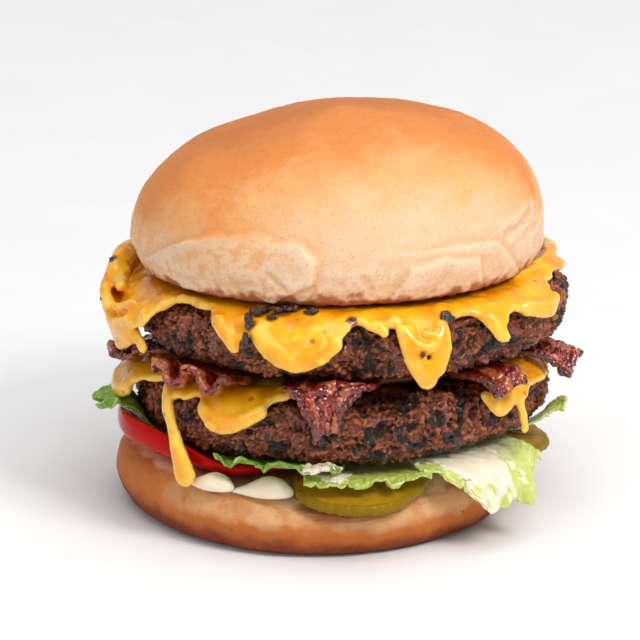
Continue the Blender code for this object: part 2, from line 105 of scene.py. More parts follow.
# Folds of the top bun's skin: (bearing, height) points with the raised side on their left,
# the step's height, how sharp it is and how far the raised side reaches
Fold = namedtuple("Fold", "points height width fade")
CROWN_FOLDS = (
    Fold(((-15, 3.0), (-8, 6.5), (-6, 12.5), (-10, 16.0),
          (-24, 18.4), (-40, 17.2), (-47, 15.0)), 1.8, 0.9, 12.0),
    Fold(((-13, 3.2), (-15, 6.5), (-19, 9.6)), -0.55, 0.6, 1.8),
    Fold(((-20, 2.6), (-21, 7.6)), -0.45, 0.6, 1.6),
    Fold(((-27, 3.2), (-29, 8.2)), -0.45, 0.6, 1.6),
    Fold(((-34, 2.8), (-35, 6.2)), -0.40, 0.6, 1.6),
    Fold(((-52.5, 5.0), (-53.5, 9.6)), -0.9, 0.5, 1.2),
    Fold(((40, 4.0), (38, 8.5), (28, 10.2), (18, 8.8), (16, 6.0)), 1.4, 0.8, 8.0),
    Fold(((8, 3.0), (6, 7.5)), -0.35, 0.6, 1.6),
    Fold(((54, 6.0), (46, 10.6), (38, 12.0), (31, 12.5)), 1.3, 0.8, 7.0),
    Fold(((66, 14.5), (58, 12.6), (50, 12.0)), -0.6, 0.7, 2.6),
    Fold(((79, 12.0), (72, 9.5), (64, 8.8)), 0.7, 0.6, 5.0),
    Fold(((84, 24.0), (76, 18.5), (72, 13.5)), -0.45, 0.8, 2.6),
    Fold(((122, 6.0), (131, 11.0), (143, 12.0), (152, 8.0)), 0.5, 0.4, 6.0),
    Fold(((-160, 5.5), (-150, 9.0), (-138, 8.0)), -0.4, 0.5, 2.0),
    Fold(((-104, 6.0), (-95, 10.0), (-84, 9.0)), 0.45, 0.4, 5.0),
    Fold(((-171, 10.0), (-178, 14.5)), -0.4, 0.5, 2.0),
)

# How much browner the top bun is at a bearing, and its browned patches: bearing, height, size, amount
BAKE_SIDES = (
    (-180.0, 0.55, 0.0), (-120.0, 0.70, 0.0), (-78.0, 0.80, 0.0), (-45.0, 0.50, 0.0), (-12.0, 0.12, 0.0),
    (25.0, 0.0, 0.0), (50.0, 0.10, 0.0), (74.0, 0.42, 0.0), (105.0, 0.62, 0.0), (150.0, 0.60, 0.0),
)
BAKE_SPOTS = (
    (-37.0, 21.0, 5.0, 0.45),
    (-27.0, 20.5, 3.5, 0.25),
    (60.0, 25.0, 7.0, 0.32),
    (74.0, 18.0, 5.0, 0.25),
    (-70.0, 24.0, 9.0, 0.2),
    (-24.0, 11.5, 6.5, 0.38),
    (-38.0, 10.0, 5.0, 0.25),
    (76.0, 21.0, 11.0, 0.35),
    (28.0, 7.0, 9.0, -0.4),
)


def hem_of(rows):
    """Edge of a melted slice in metres, from rows in degrees and millimetres."""
    return tuple((bearing, drop * MM, flare * MM) for bearing, drop, flare in rows)


# Edge of each melted slice: bearing, length past the patty's rounded top edge, outward flare
LOWER_HEM = hem_of((
    (-172.0, 1.0, 0.8), (-151.0, -3.8, 0.5), (-131.0, 2.4, 1.0), (-112.0, -3.4, 0.8),
    (-96.0, -1.4, 2.0), (-79.0, 1.4, 3.5), (-66.0, -2.5, 2.0), (-57.0, -5.2, 1.0),
    (-49.0, -1.5, 1.4), (-42.0, -3.4, 1.0), (-35.0, 1.0, 0.8), (-27.0, 0.8, 0.8),
    (-17.0, -6.0, 0.3), (-8.0, -17.0, 0.0), (37.0, -17.0, 0.0), (43.0, -8.0, 0.2),
    (45.0, 0.8, 0.8), (49.5, -1.4, 1.0), (54.5, 1.0, 1.4), (60.0, -1.8, 1.2),
    (67.0, -0.4, 1.0), (80.0, -4.4, 0.6), (108.0, 1.6, 1.0), (127.0, -4.0, 0.8),
    (146.0, 3.0, 1.2), (165.0, -3.6, 0.8),
))
UPPER_HEM = hem_of((
    (-160.0, 4.0, 1.6), (-144.0, -3.0, 0.6), (-122.0, 1.2, 1.0), (-105.0, -1.6, 1.8),
    (-89.0, 5.6, 4.6), (-72.0, 7.6, 5.0), (-61.0, 2.4, 3.2), (-52.5, -6.2, 1.2),
    (-41.0, -5.8, 0.6), (-36.0, -1.0, 0.7), (-30.0, 1.2, 0.8), (-25.5, -2.0, 0.8),
    (-20.0, 3.6, 1.0), (-13.0, 4.4, 1.2), (-5.0, 0.0, 0.8), (1.0, -4.0, 0.4),
    (6.0, -2.6, 0.4), (10.5, -3.0, 0.6), (14.5, 3.0, 1.2), (18.5, 4.0, 1.4),
    (23.0, -2.8, 0.8), (30.0, -4.6, 0.4), (37.5, 1.4, 0.9), (45.0, -2.8, 0.6),
    (57.0, -0.8, 0.5), (69.0, -5.8, 0.1), (86.0, -8.0, 0.0), (106.0, -5.4, 0.3),
    (124.0, -0.4, 0.8), (140.0, -2.6, 1.0), (158.0, 4.0, 3.0), (178.0, -3.6, 1.0),
))

# Runs of melted cheese: points of (bearing, drop, thickness, flare) in degrees and millimetres
LOWER_RUNS = (
    ((-86, 0.6, 2.0, 3.0), (-79, 2.0, 2.6, 3.5), (-72, 0.4, 2.0, 2.6)),
    ((-54, -3.5, 1.8, 1.4), (-50.5, 1.0, 1.9, 1.9),
     (-48, 6.0, 1.8, 2.3), (-46, 10.5, 2.3, 2.6), (-44.5, 14.5, 3.2, 2.2), (-44.5, 17.0, 3.4, 1.6)),
    ((-39, -0.8, 2.2, 0.8), (-35, 1.6, 2.6, 0.8), (-29, 1.4, 2.5, 0.8), (-22, -1.8, 1.9, 0.5)),
    ((41, -2.2, 1.8, 0.6), (45, 1.4, 2.5, 0.8), (50, -0.4, 2.0, 1.0)),
    ((52.5, 1.0, 1.7, 1.4), (54.0, 5.5, 1.35, 1.6), (54.6, 8.6, 1.7, 1.4)),
    ((100, 1.0, 2.0, 1.0), (108, 2.4, 2.6, 1.0), (116, 0.2, 2.0, 0.8)),
    ((143, 1.0, 2.2, 1.2), (146, 5.0, 2.4, 1.2), (147, 6.6, 2.8, 1.0)),
    ((-134, 1.0, 2.2, 1.0), (-131, 3.6, 2.6, 1.0)),
)
UPPER_RUNS = (
    ((-90, 4.5, 2.2, 4.2), (-81, 7.6, 2.5, 3.9), (-73, 9.0, 2.7, 3.2), (-66, 5.5, 2.3, 2.6)),
    ((-70, 2.0, 1.8, 2.6), (-66, 5.5, 1.9, 2.2), (-63, 8.6, 2.1, 1.6)),
    ((-98, 1.0, 1.4, 3.6), (-88, 3.0, 1.6, 5.4), (-76, 4.6, 1.6, 5.8), (-66, 1.5, 1.4, 4.6)),
    ((-96, -1.6, 1.3, 3.4), (-84, -0.6, 1.5, 5.0), (-74, 0.4, 1.4, 5.2), (-66, -2.4, 1.3, 4.0)),
    ((-59, -6.5, 1.0, 1.2), (-63, -2.5, 1.1, 2.6), (-67, 1.5, 1.2, 3.8), (-70, 5.5, 1.3, 4.4)),
    ((-54, -8.0, 0.9, 0.8), (-58, -4.4, 1.0, 2.0), (-61, -0.4, 1.1, 3.0), (-63, 2.4, 1.2, 3.4)),
    ((-40, -6.6, 1.0, 0.4), (-48, -7.4, 1.1, 0.6), (-55, -6.0, 1.1, 1.0), (-60, -4.0, 1.1, 1.8)),
    ((-36, -2.6, 2.2, 0.8), (-32, 0.6, 2.5, 0.9), (-30.5, 2.6, 2.3, 0.9)),
    ((-25, -1.0, 2.2, 0.9), (-20, 3.0, 2.8, 1.2), (-16, 4.8, 3.0, 1.3),
     (-11, 4.2, 2.8, 1.2), (-5, 0.6, 2.2, 0.8)),
    ((5.5, -3.2, 1.8, 0.5), (7, -1.6, 1.6, 0.5)),
    ((12.0, -1.5, 2.4, 0.9), (13.6, 3.5, 2.8, 1.4), (15, 7.0, 2.9, 1.6), (17, 10.2, 2.7, 1.5)),
    ((21, -1.5, 2.3, 0.9), (20.8, 3.0, 2.7, 1.3), (19.5, 7.4, 2.6, 1.5)),
    ((14, 0.6, 1.3, 2.6), (17, 1.8, 1.3, 3.0), (20, 0.4, 1.2, 2.6), (17, -1.4, 1.1, 2.4)),
    ((35, -2.0, 2.2, 0.7), (37.5, 1.4, 2.3, 1.0), (39, 2.6, 1.8, 1.2)),
    ((49, -2.2, 2.1, 0.5), (57, -0.4, 2.5, 0.6), (63, -1.6, 2.1, 0.3)),
    ((118, -1.4, 2.0, 0.6), (124, 0.2, 2.4, 0.8)),
    ((152, 2.0, 2.2, 2.4), (158, 5.0, 2.7, 2.8), (164, 2.4, 2.2, 2.4)),
    ((-162, 3.0, 2.5, 1.6), (-160, 7.8, 2.8, 1.6)),
    ((-127, 0.0, 2.0, 0.9), (-121, 1.8, 2.4, 1.0)),
)

# Folds of the upper slice bunched up beside the top bun: points of (x, y, height, thickness) in millimetres
UPPER_CREASES = (
    ((-47, 21, 41.2, 1.3), (-52, 16, 43.0, 1.6), (-55.2, 9, 44.6, 1.7),
     (-57.0, 1, 44.4, 1.8), (-58.2, -7, 42.0, 1.7)),
    ((-57.0, 1, 44.4, 1.8), (-59.0, -6, 41.6, 1.7), (-60.2, -13, 38.6, 1.6), (-59.4, -21, 36.0, 1.5)),
    ((-54.0, 12, 41.2, 1.6), (-57.6, 5, 40.4, 1.8),
     (-59.6, -3, 38.0, 1.8), (-60.2, -11, 35.0, 1.7), (-58.4, -19, 32.0, 1.6)),
    ((-50.0, 15, 41.4, 1.9), (-54.0, 6, 42.0, 2.2),
     (-55.8, -2, 41.6, 2.2), (-56.6, -9, 40.2, 2.0), (-56.0, -16, 39.6, 1.6)),
    ((-53.6, 9, 43.4, 1.6), (-55.8, 1, 43.0, 1.8), (-57.0, -6, 41.4, 1.8)),
    ((48.5, -19, 43.0, 1.4), (53, -13, 43.8, 1.7), (55.6, -4, 44.2, 1.9),
     (56, 5, 43.6, 1.8), (54.5, 13, 42.6, 1.5)),
    ((45.0, -25, 42.6, 1.2), (50, -20, 42.8, 1.5), (55, -14, 42.2, 1.6), (58, -6, 41.4, 1.6)),
)

# Charred scraps on the upper slice: place and half sizes in millimetres, and turn in degrees
SCRAPS = (
    ((-19.2, -52.6, 41.9), (2.6, 1.1, 0.8), 20),
    ((-22.2, -55.6, 39.6), (0.9, 0.8, 2.4), 24),
    ((-23.0, -57.9, 35.6), (0.7, 0.7, 1.9), -12),
    ((-13.6, -53.6, 42.7), (3.8, 1.2, 0.8), 6),
    ((-6.8, -55.4, 42.2), (2.1, 1.0, 0.7), 10),
    ((-16.8, -55.4, 41.2), (1.5, 1.0, 0.6), -30),
    ((26.4, -54.8, 39.4), (2.2, 1.5, 2.0), 24),
    ((24.2, -56.0, 38.2), (1.4, 0.9, 1.5), 50),
    ((3.4, -58.5, 40.1), (1.7, 0.7, 0.6), 12),
    ((-58.6, -4.0, 43.6), (0.9, 1.8, 0.8), 10),
    ((-61.2, -15.5, 36.2), (0.5, 0.8, 0.6), 0),
    ((20.8, -62.9, 32.5), (0.45, 0.4, 0.8), 0),
)

# Where painted shade darkens the lower cheese between the patties, in degrees
JUICE_BEARING = 20.0
JUICE_REACH = 24.0

# Strips that run out from under a patty: a path of (radius, height) pairs in millimetres
Strip = namedtuple("Strip", "bearing half_width path arc taper wave waves roll slant", defaults=(0.0,))
BACON_CENTRE = np.array((3.0, -2.0)) * MM
BACON_MID = BACON_FLOOR + 0.5 * BACON_THICKNESS
BACON = {
    "bacon_left": Strip(
        -83.0, 9.0, ((10, 0), (30, 0), (46, 0), (55, 0.2), (63.0, -1.4)), 0, 0.2, 1.2, 1.0, 0.4
    ),
    "bacon_front_left": Strip(
        -46.5, 17.0, ((36, 0), (44, 0), (50, 0), (55, 0.2), (59, 0.4)), 1, 0.1, 2.6, 2.3, 0.2
    ),
    "bacon_front": Strip(
        -6.0, 12.5, ((16, 0), (34, 0), (50, 0), (57, 1.2),
            (61, -2.2), (61.8, -9.0)), 0, 0.75, 0.5, 1.0, 0.7
    ),
    "bacon_front_right": Strip(
        42.0, 7.5, ((29, 0), (40, 0), (50, 0), (57, -0.8), (59.5, -3.0)), 0, 0.3, 1.0, 1.0, 0.0
    ),
    "bacon_right": Strip(
        73.5, 7.2, ((12, 0), (30, 0), (48, 0), (55.5, -0.8), (60.2, -3.4)), 0, 0.25, 1.2, 1.0, 0.6
    ),
    "bacon_back_right": Strip(
        160.0, 12.0, ((14, 0), (32, 0), (49, 0), (57, 0.2), (62, -2.6)), 0, 0.2, 1.4, 1.2, 0.0
    ),
    "bacon_back_left": Strip(
        -136.0, 10.5, ((26, 0), (38, 0), (49, 0), (57, 0.3), (61, -1.4)), 0, 0.3, 1.0, 1.0, 0.9
    ),
}
LETTUCE = {
    "lettuce_left": Strip(
        -80.0, 10.0,
        ((26, -0.7), (45, -0.6), (49.5, -0.1), (53, 2.6), (56.3, 7.2), (61.0, 9.8), (64.8, 8.6)),
        1, 0.3, 0.4, 1.5, 0.1,
    ),
    "lettuce_front_left": Strip(
        -19.5, 19.0, ((28, -0.7), (40, -0.7), (47, -0.65),
            (50, -0.1), (53, 0.95), (55.8, 1.5)), 1, 0.1, 0.7, 3.5, 0.1
    ),
    "lettuce_front": Strip(
        6.5, 18.5, ((36, -3.2), (41, -3.2), (46, -3.0), (51, -2.6), (54.4, -3.2)), 1, 0.1, 1.4, 3.0, 0.4
    ),
    "lettuce_right": Strip(
        43.0, 22.5, ((24, -1.0), (38, -1.0), (47, -1.2),
            (54, -3.0), (58.5, -8.5), (59.5, -13.5)), 1, 0.2, 1.3, 2.1, 0.5, 0.42
    ),
    "lettuce_back": Strip(
        172.0, 30.0, ((22, -1.0), (36, -1.0), (46, -1.0), (54, -1.2), (60, -4.0)), 1, 0.2, 1.8, 4.0, 0.0
    ),
}

# Slices on the bottom bun, bent and swollen where they reach past the patty
Slice = namedtuple("Slice", "centre radius thickness height bend_from bend_to bend swell seed")
TOMATO = {
    "tomato": Slice(
        np.array((-29.5, -10.5)) * MM, 30 * MM, 2.8 * MM, -3.0 * MM,
        48.5 * MM, 61 * MM, 7.0 * MM, 3.2 * MM, 1.0,
    ),
}
PICKLES = {
    "pickle_front": Slice(
        np.array((4.6, -39.5)) * MM, 17.8 * MM, 2.8 * MM, -6.3 * MM, 43 * MM, 60 * MM, -3.6 * MM, 0.0, 3.0
    ),
    "pickle_right": Slice(
        np.array((35.0, -9.5)) * MM, 19.0 * MM, 2.8 * MM, -4.6 * MM, 42 * MM, 58 * MM, -1.4 * MM, 0.0, 4.0
    ),
}
LEAF_SCRAP = Strip(
    74.0, 4.2, ((44, -0.8), (49, 0.3), (53.6, 2.8), (56.6, 5.6), (59.4, 6.8)), 1, 0.5, 0.4, 1.0, 0.2
)

# Sauce spread on a leaf: place across and along it, and how far it spreads
COATS = {
    "lettuce_right": (-0.30, 0.66, 0.72, 0.38),
    "lettuce_front_left": (0.72, 0.86, 0.30, 0.22),
    "lettuce_front": (-0.52, 0.62, 0.30, 0.35),
}
Dollop = namedtuple("Dollop", "centre half_length half_depth height level turn seed")
SAUCE = {
    "sauce_left": Dollop(np.array((-33.4, -42.4)) * MM, 6.3 * MM, 3.2 * MM, 4.0 * MM, 1.0 * MM, -28.0, 1.0),
    "sauce_front": Dollop(np.array((-19.8, -46.4)) * MM, 7.2 * MM, 3.5 * MM, 5.0 * MM, 0.4 * MM, -12.0, 2.0),
}

# Lights: energy, place and colour
LIGHT_SIZE = 0.26
LIGHT_TARGET = Vector((0.0, 0.0, 0.05))
LIGHTS = {
    "key": (4.6, (0.50, -0.50, 0.72), (1.0, 0.98, 0.95)),
    "fill": (0.55, (-0.50, -0.62, 0.40), (0.97, 0.98, 1.0)),
}
SKY_ENERGY = 1.45
SKY_ANGLE = 0.9
SKY_DIRECTION = Vector((0.15, -0.25, 1.0))
WORLD_STRENGTH = 0.5

# Camera
CAMERA_DISTANCE = 0.95
CAMERA_ELEVATION = math.radians(17.5)
CAMERA_TARGET = Vector((-0.0053, 0.0, 0.0475))
CAMERA_LENS = 203.0

# Scattered directions and places behind the noise functions
SCATTER = np.random.default_rng(11)
TABLE = 1024
SHUFFLE = SCATTER.permutation(TABLE)
SLOPES = SCATTER.normal(size=(TABLE, 3))
SLOPES /= np.linalg.norm(SLOPES, axis=1, keepdims=True)
CENTRES = SCATTER.random((TABLE, 3))


def smoothstep(low, high, value):
    """Rise from 0 to 1 as a value goes from low to high."""
    share = np.clip((value - low) / (high - low), 0.0, 1.0)
    return share * share * (3.0 - 2.0 * share)


def headings(bearings):
    """Unit vectors in plan along bearings."""
    angles = np.radians(bearings)
    return np.stack((np.sin(angles), -np.cos(angles)), axis=-1)


def bearings_of(plan):
    """Bearings of offsets in plan."""
    return np.degrees(np.arctan2(plan[..., 0], -plan[..., 1]))


def turn_between(first, second):
    """Difference of two bearings, from -180 to 180."""
    return (first - second + 180.0) % 360.0 - 180.0


def along(points, shares):
    """Points on a smooth curve through the given points, for shares from 0 to 1."""
    points = np.asarray(points, dtype=float)
    place = np.clip(shares, 0.0, 1.0) * (len(points) - 1)
    index = np.minimum(place.astype(int), len(points) - 2)
    local = (place - index)[..., None]
    before = points[np.maximum(index - 1, 0)]
    start = points[index]
    end = points[index + 1]
    after = points[np.minimum(index + 2, len(points) - 1)]
    return 0.5 * (
        2.0 * start
        + (end - before) * local
        + (2.0 * before - 5.0 * start + 4.0 * end - after) * local**2
        + (3.0 * start - before - 3.0 * end + after) * local**3
    )


def stack_matrix():
    """Place of the leaning frame in the burger."""
    lean = Euler((-LEAN_BACK, -LEAN_LEFT, 0.0)).to_matrix().to_4x4()
    return Matrix.Translation((0.0, 0.0, STACK_BASE)) @ lean


def table_index(cells):
    """Row of the scatter tables for whole-number cells."""
    index = SHUFFLE[cells[:, 2] % TABLE]
    index = SHUFFLE[(index + cells[:, 1]) % TABLE]
    return SHUFFLE[(index + cells[:, 0]) % TABLE]


def wool(spots, size, seed=0.0):
    """Smooth noise from about -1 to 1 with features of a given size."""
    scaled = spots / size + np.array((7.31, 3.17, -5.71)) * (seed + 1.0)
    base = np.floor(scaled).astype(int)
    part = scaled - base
    ease = part**3 * (part * (part * 6.0 - 15.0) + 10.0)
    total = np.zeros(len(spots))
    for corner in itertools.product((0, 1), repeat=3):
        step = np.array(corner)
        weight = np.prod(np.where(step == 1, ease, 1.0 - ease), axis=1)
        total += weight * np.einsum("ij,ij->i", SLOPES[table_index(base + step)], part - step)
    return 1.7 * total


def layered(spots, size, seed=0.0, layers=3):
    """Noise with finer and fainter layers on top of each other."""
    total = 0.0
    for layer in range(layers):
        total = total + wool(spots, size / 2.1**layer, seed + 3.7 * layer) * 0.55**layer
    return total


def clumps(spots, size, seed=0.0):
    """Rounded cells of irregular size: 0 in the creases, 1 on a cell's back, and each cell's own value."""
    scaled = spots / size + np.array((-2.9, 6.1, 4.3)) * (seed + 1.0)
    base = np.floor(scaled).astype(int)
    nearest = np.full(len(spots), 9.0)
    second = np.full(len(spots), 9.0)
    own = np.zeros(len(spots))
    for corner in itertools.product((-1, 0, 1), repeat=3):
        cell = base + np.array(corner)
        index = table_index(cell)
        away = np.linalg.norm(cell + CENTRES[index] - scaled, axis=1)
        closer = away < nearest
        second = np.where(closer, nearest, np.minimum(second, away))
        own = np.where(closer, CENTRES[index, 0], own)
        nearest = np.where(closer, away, nearest)
    return smoothstep(0.0, 0.5, second - nearest), own


# Meshes

def spun(profile, segments, finer=4):
    """Skin turned about Z from a smooth run of (radius, height) pairs that starts and ends on the axis."""
    rows = finer * (len(profile) - 1)
    curve = along(profile, np.linspace(0.0, 1.0, rows + 1))
    curve[0, 0] = curve[-1, 0] = 0.0
    bm = bmesh.new()
    bmesh.ops.create_grid(bm, x_segments=rows, y_segments=segments, size=0.5)
    flat = np.array([vert.co for vert in bm.verts])
    radius, height = curve[np.rint((flat[:, 0] + 0.5) * rows).astype(int)].T
    turn = np.rint((flat[:, 1] + 0.5) * segments) % segments
    plan = headings(360.0 * turn / segments) * np.maximum(radius, 0.0)[:, None]
    for vert, spot in zip(bm.verts, np.column_stack((plan, height)).tolist()):
        vert.co = spot
    bmesh.ops.remove_doubles(bm, verts=bm.verts, dist=1e-7)
    return bm


def mesh_of(bm, name):
    """Mesh with its doubles merged and its faces turned outwards."""
    bmesh.ops.remove_doubles(bm, verts=bm.verts, dist=1e-8)
    bmesh.ops.recalc_face_normals(bm, faces=bm.faces)
    mesh = bpy.data.meshes.new(name)
    bm.to_mesh(mesh)
    bm.free()
    return mesh


def spots_of(mesh):
    """Places of a mesh's vertices."""
    values = np.empty(3 * len(mesh.vertices), np.float32)
    mesh.vertices.foreach_get("co", values)
    return values.reshape(-1, 3).astype(float)


def put_spots(mesh, spots):
    """Move a mesh's vertices."""
    mesh.vertices.foreach_set("co", spots.astype(np.float32).ravel())
    mesh.update()


def normals_of(mesh):
    """Outward directions at a mesh's vertices."""
    values = np.empty(3 * len(mesh.vertices), np.float32)
    mesh.vertex_normals.foreach_get("vector", values)
    return values.reshape(-1, 3).astype(float)


def turn_outwards(mesh):
    """Turn a closed mesh's faces outwards if its volume comes out negative."""
    mesh.calc_loop_triangles()
    corners = np.empty(3 * len(mesh.loop_triangles), np.int32)
    mesh.loop_triangles.foreach_get("vertices", corners)
    first, second, third = np.moveaxis(spots_of(mesh)[corners.reshape(-1, 3)], 1, 0)
    if np.einsum("ij,ij->", first, np.cross(second, third)) < 0.0:
        mesh.flip_normals()
    mesh.update()


def add_mark(mesh, name, values):
    """Keep a value per vertex for the material."""
    mesh.attributes.new(name, "FLOAT", "POINT").data.foreach_set("value", values.astype(np.float32))


def evened(mesh, values, rounds, share=1.0):
    """Values drawn towards the mean of their neighbours."""
    pairs = np.empty(2 * len(mesh.edges), np.int32)
    mesh.edges.foreach_get("vertices", pairs)
    first, second = pairs.reshape(-1, 2).T
    size = len(mesh.vertices)
    count = np.maximum(np.bincount(pairs, minlength=size), 1)
    values = values.reshape(size, -1)
    for _ in range(rounds):
        total = np.empty_like(values)
        for column in range(values.shape[1]):
            total[:, column] = np.bincount(first, values[second, column], size)
            total[:, column] += np.bincount(second, values[first, column], size)
        values = values + share * (total / count[:, None] - values)
    return values


def hollows(mesh, rounds, depth):
    """How far each vertex lies below its surroundings, in shares of a depth."""
    spots = spots_of(mesh)
    below = np.einsum("ij,ij->i", evened(mesh, spots, rounds) - spots, normals_of(mesh))
    return below / depth


def raise_along_normals(mesh, heights):
    """Move a mesh's vertices along their outward directions."""
    put_spots(mesh, spots_of(mesh) + normals_of(mesh) * heights[:, None])


def modified(bm, name, kind, **settings):
    """Mesh after a modifier."""
    lump = bpy.data.objects.new(name, mesh_of(bm, name))
    bpy.context.scene.collection.objects.link(lump)
    modifier = lump.modifiers.new(kind.lower(), kind)
    for key, value in settings.items():
        setattr(modifier, key, value)
    graph = bpy.context.evaluated_depsgraph_get()
    mesh = bpy.data.meshes.new_from_object(lump.evaluated_get(graph))
    bpy.data.objects.remove(lump, do_unlink=True)
    return mesh


def melted(bm, name, voxel, rounds):
    """One closed skin over overlapping bodies, with the joints between them smoothed."""
    mesh = modified(bm, name, "REMESH", mode="VOXEL", voxel_size=voxel)
    put_spots(mesh, evened(mesh, spots_of(mesh), rounds, 0.5))
    turn_outwards(mesh)
    return mesh


def add_ball(bm, spot, radius, bearing=0.0, flat=1.0, subdivisions=2):
    """Ball, flattened along a bearing."""
    turn = Matrix.Rotation(math.radians(bearing), 4, "Z")
    scale = Matrix.Diagonal((radius, radius * flat, radius, 1.0))
    place = Matrix.Translation(Vector(spot)) @ turn @ scale
    bmesh.ops.create_icosphere(bm, subdivisions=subdivisions, radius=1.0, matrix=place)


def finish_piece(mesh, name, material, nodes, lean=True):
    """Smooth object that stands for its nodes."""
    if lean:
        mesh.transform(stack_matrix())
    turn_outwards(mesh)
    mesh.shade_smooth()
    mesh.materials.clear()
    mesh.materials.append(material)
    piece = bpy.data.objects.new(name, mesh)
    bpy.context.scene.collection.objects.link(piece)
    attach(piece, "root")
    if nodes:
        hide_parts(*nodes)
    return piece


# Shapes

def patty_rim(patty, bearings):
    """Rim radius of a patty at bearings, with none of the crust's relief."""
    angles = np.radians(bearings)
    lobes = 0.012 * np.sin(2.0 * angles + patty.seed) + 0.009 * np.sin(3.0 * angles + 2.0 * patty.seed)
    return patty.radius * (1.0 + lobes)


def patty_profile(patty, spacing):
    """Half section of a patty as (radius, height) pairs: flat faces and rounded edges."""
    low = patty.radius - patty.under_edge
    high = patty.radius - patty.top_edge
    points = [(0.0, 0.0), (0.5 * low, 0.0)]
    points += [(low - inset * MM, 0.0) for inset in (14, 9, 5.4, 2.8, 1.1)]
    steps = int(0.5 * math.pi * patty.under_edge / spacing)
    for step in range(steps + 1):
        angle = 0.5 * math.pi * step / steps
        wide = low + patty.under_edge * math.sin(angle)
        points.append((wide, patty.under_edge * (1.0 - math.cos(angle))))
    straight = patty.thickness - patty.under_edge - patty.top_edge
    count = max(int(straight / spacing), 1)
    points += [(patty.radius, patty.under_edge + straight * step / count) for step in range(1, count)]
    steps = int(0.5 * math.pi * patty.top_edge / spacing)
    for step in range(steps + 1):
        angle = 0.5 * math.pi * step / steps
        wide = high + patty.top_edge * math.cos(angle)
        points.append((wide, patty.thickness - patty.top_edge * (1.0 - math.sin(angle))))
    points += [(high - inset * MM, patty.thickness) for inset in (1.1, 2.8, 5.4, 9, 14)]
    points += [(0.5 * high, patty.thickness), (0.0, patty.thickness)]
    return points


def build_patty(patty, name, sizes, material):
    """Ground-beef patty: crumbs and strands of meat with creases between them, darkened by painted shade."""
    mesh = mesh_of(spun(patty_profile(patty, 1.75 * MM), 860), name + "_crust")
    flat = spots_of(mesh)
    radius = np.hypot(flat[:, 0], flat[:, 1])
    bearings = bearings_of(flat[:, :2])
    wide = radius * patty_rim(patty, bearings) / patty.radius
    plan = patty.centre + headings(bearings) * wide[:, None]
    spots = np.column_stack((plan, patty.floor + flat[:, 2]))
    put_spots(mesh, spots)
    turn_outwards(mesh)

    seed = patty.seed
    outer = smoothstep(patty.radius - 19 * MM, patty.radius - 8 * MM, radius)
    drift = np.column_stack([layered(spots, 4.6 * MM, seed + turn, 3) for turn in (0.0, 1.0, 2.0)])
    warped = spots + 1.6 * MM * drift
    chunks, chunk_level = clumps(warped * (1.0, 1.0, 1.25), 4.6 * MM, seed)
    crumbs, crumb_level = clumps(warped, 2.2 * MM, seed + 1.0)
    grains, grain_level = clumps(spots + 0.5 * MM * drift[:, ::-1], 1.2 * MM, seed + 2.0)
    swell = layered(spots, 12 * MM, seed + 3.0, 2)
    torn = smoothstep(0.10, 0.62, layered(spots, 3.6 * MM, seed + 5.0, 3))
    relief = chunks * (0.12 + 0.72 * chunk_level) + crumbs * (0.18 + 0.70 * crumb_level)
    relief += grains * (0.10 + 0.34 * grain_level) + 0.6 * swell - 1.0 * torn
    relief += 0.14 * wool(spots, 0.8 * MM, seed + 4.0)
    heights = np.clip((relief - 1.25) * sizes.meat_relief, -2.8 * MM, 0.30 * MM) * outer
    raise_along_normals(mesh, heights)

    # Painted shade: this mark darkens the hollows of the crust towards near-black in the material.
    add_mark(mesh, "crease", np.clip(hollows(mesh, 6, 0.42 * MM), 0.0, 1.0))
    # Painted highlight: this mark lightens raised crumbs of the crust in the material.
    add_mark(mesh, "ridge", np.clip(-hollows(mesh, 3, 0.2 * MM), 0.0, 1.0))
    low = smoothstep(7 * MM, 1 * MM, flat[:, 2])
    scorch = layered(spots, 7 * MM, seed + 6.0, 3) + 0.7 * (crumb_level - 0.5) + 0.5 * (grain_level - 0.5)
    add_mark(mesh, "char", smoothstep(-0.08, 0.5, scorch + 0.25 * low))
    add_mark(mesh, "grain", grain_level)
    return finish_piece(mesh, name + "_crust", material, [name])


def hem_at(hem, bearings):
    """Length and flare of a sheet's edge at bearings, eased between its given places."""
    knots = np.array(hem + ((hem[0][0] + 360.0, *hem[0][1:]),))
    turned = (bearings - knots[0, 0]) % 360.0 + knots[0, 0]
    after = np.clip(np.searchsorted(knots[:, 0], turned), 1, len(knots) - 1)
    share = smoothstep(knots[after - 1, 0], knots[after, 0], turned)
    before, after = knots[after - 1], knots[after]
    return tuple(before[:, row] + (after[:, row] - before[:, row]) * share for row in (1, 2))


def drape_path(patty, bearings, run):
    """Radius, height and turn of a sheet's inner face, a run from the patty's axis."""
    flat = patty_rim(patty, bearings) - patty.top_edge
    level = patty.floor + patty.thickness
    rounding = patty.top_edge + CHEESE_CLEARANCE
    past = np.maximum(run - flat, 0.0)
    angle = np.minimum(past / rounding, 0.5 * math.pi)
    rest = np.maximum(past - 0.5 * math.pi * rounding, 0.0)
    radius = np.minimum(run, flat) + rounding * np.sin(angle)
    height = level - patty.top_edge + rounding * np.cos(angle) - rest
    return radius, height, angle


def sheet_spots(patty, bearings, run, lift, flare):
    """Places on or above a draped sheet."""
    radius, height, angle = drape_path(patty, bearings, run)
    radius = radius + flare + lift * np.sin(angle)
    plan = patty.centre + headings(bearings) * radius[:, None]
    return np.column_stack((plan, height + lift * np.cos(angle)))


def sheet_edge(patty, bearings, drop):
    """Run of a sheet's edge for a length past the patty's rounded top edge."""
    return patty_rim(patty, bearings) + 0.57 * patty.top_edge - 1.0 * MM + drop


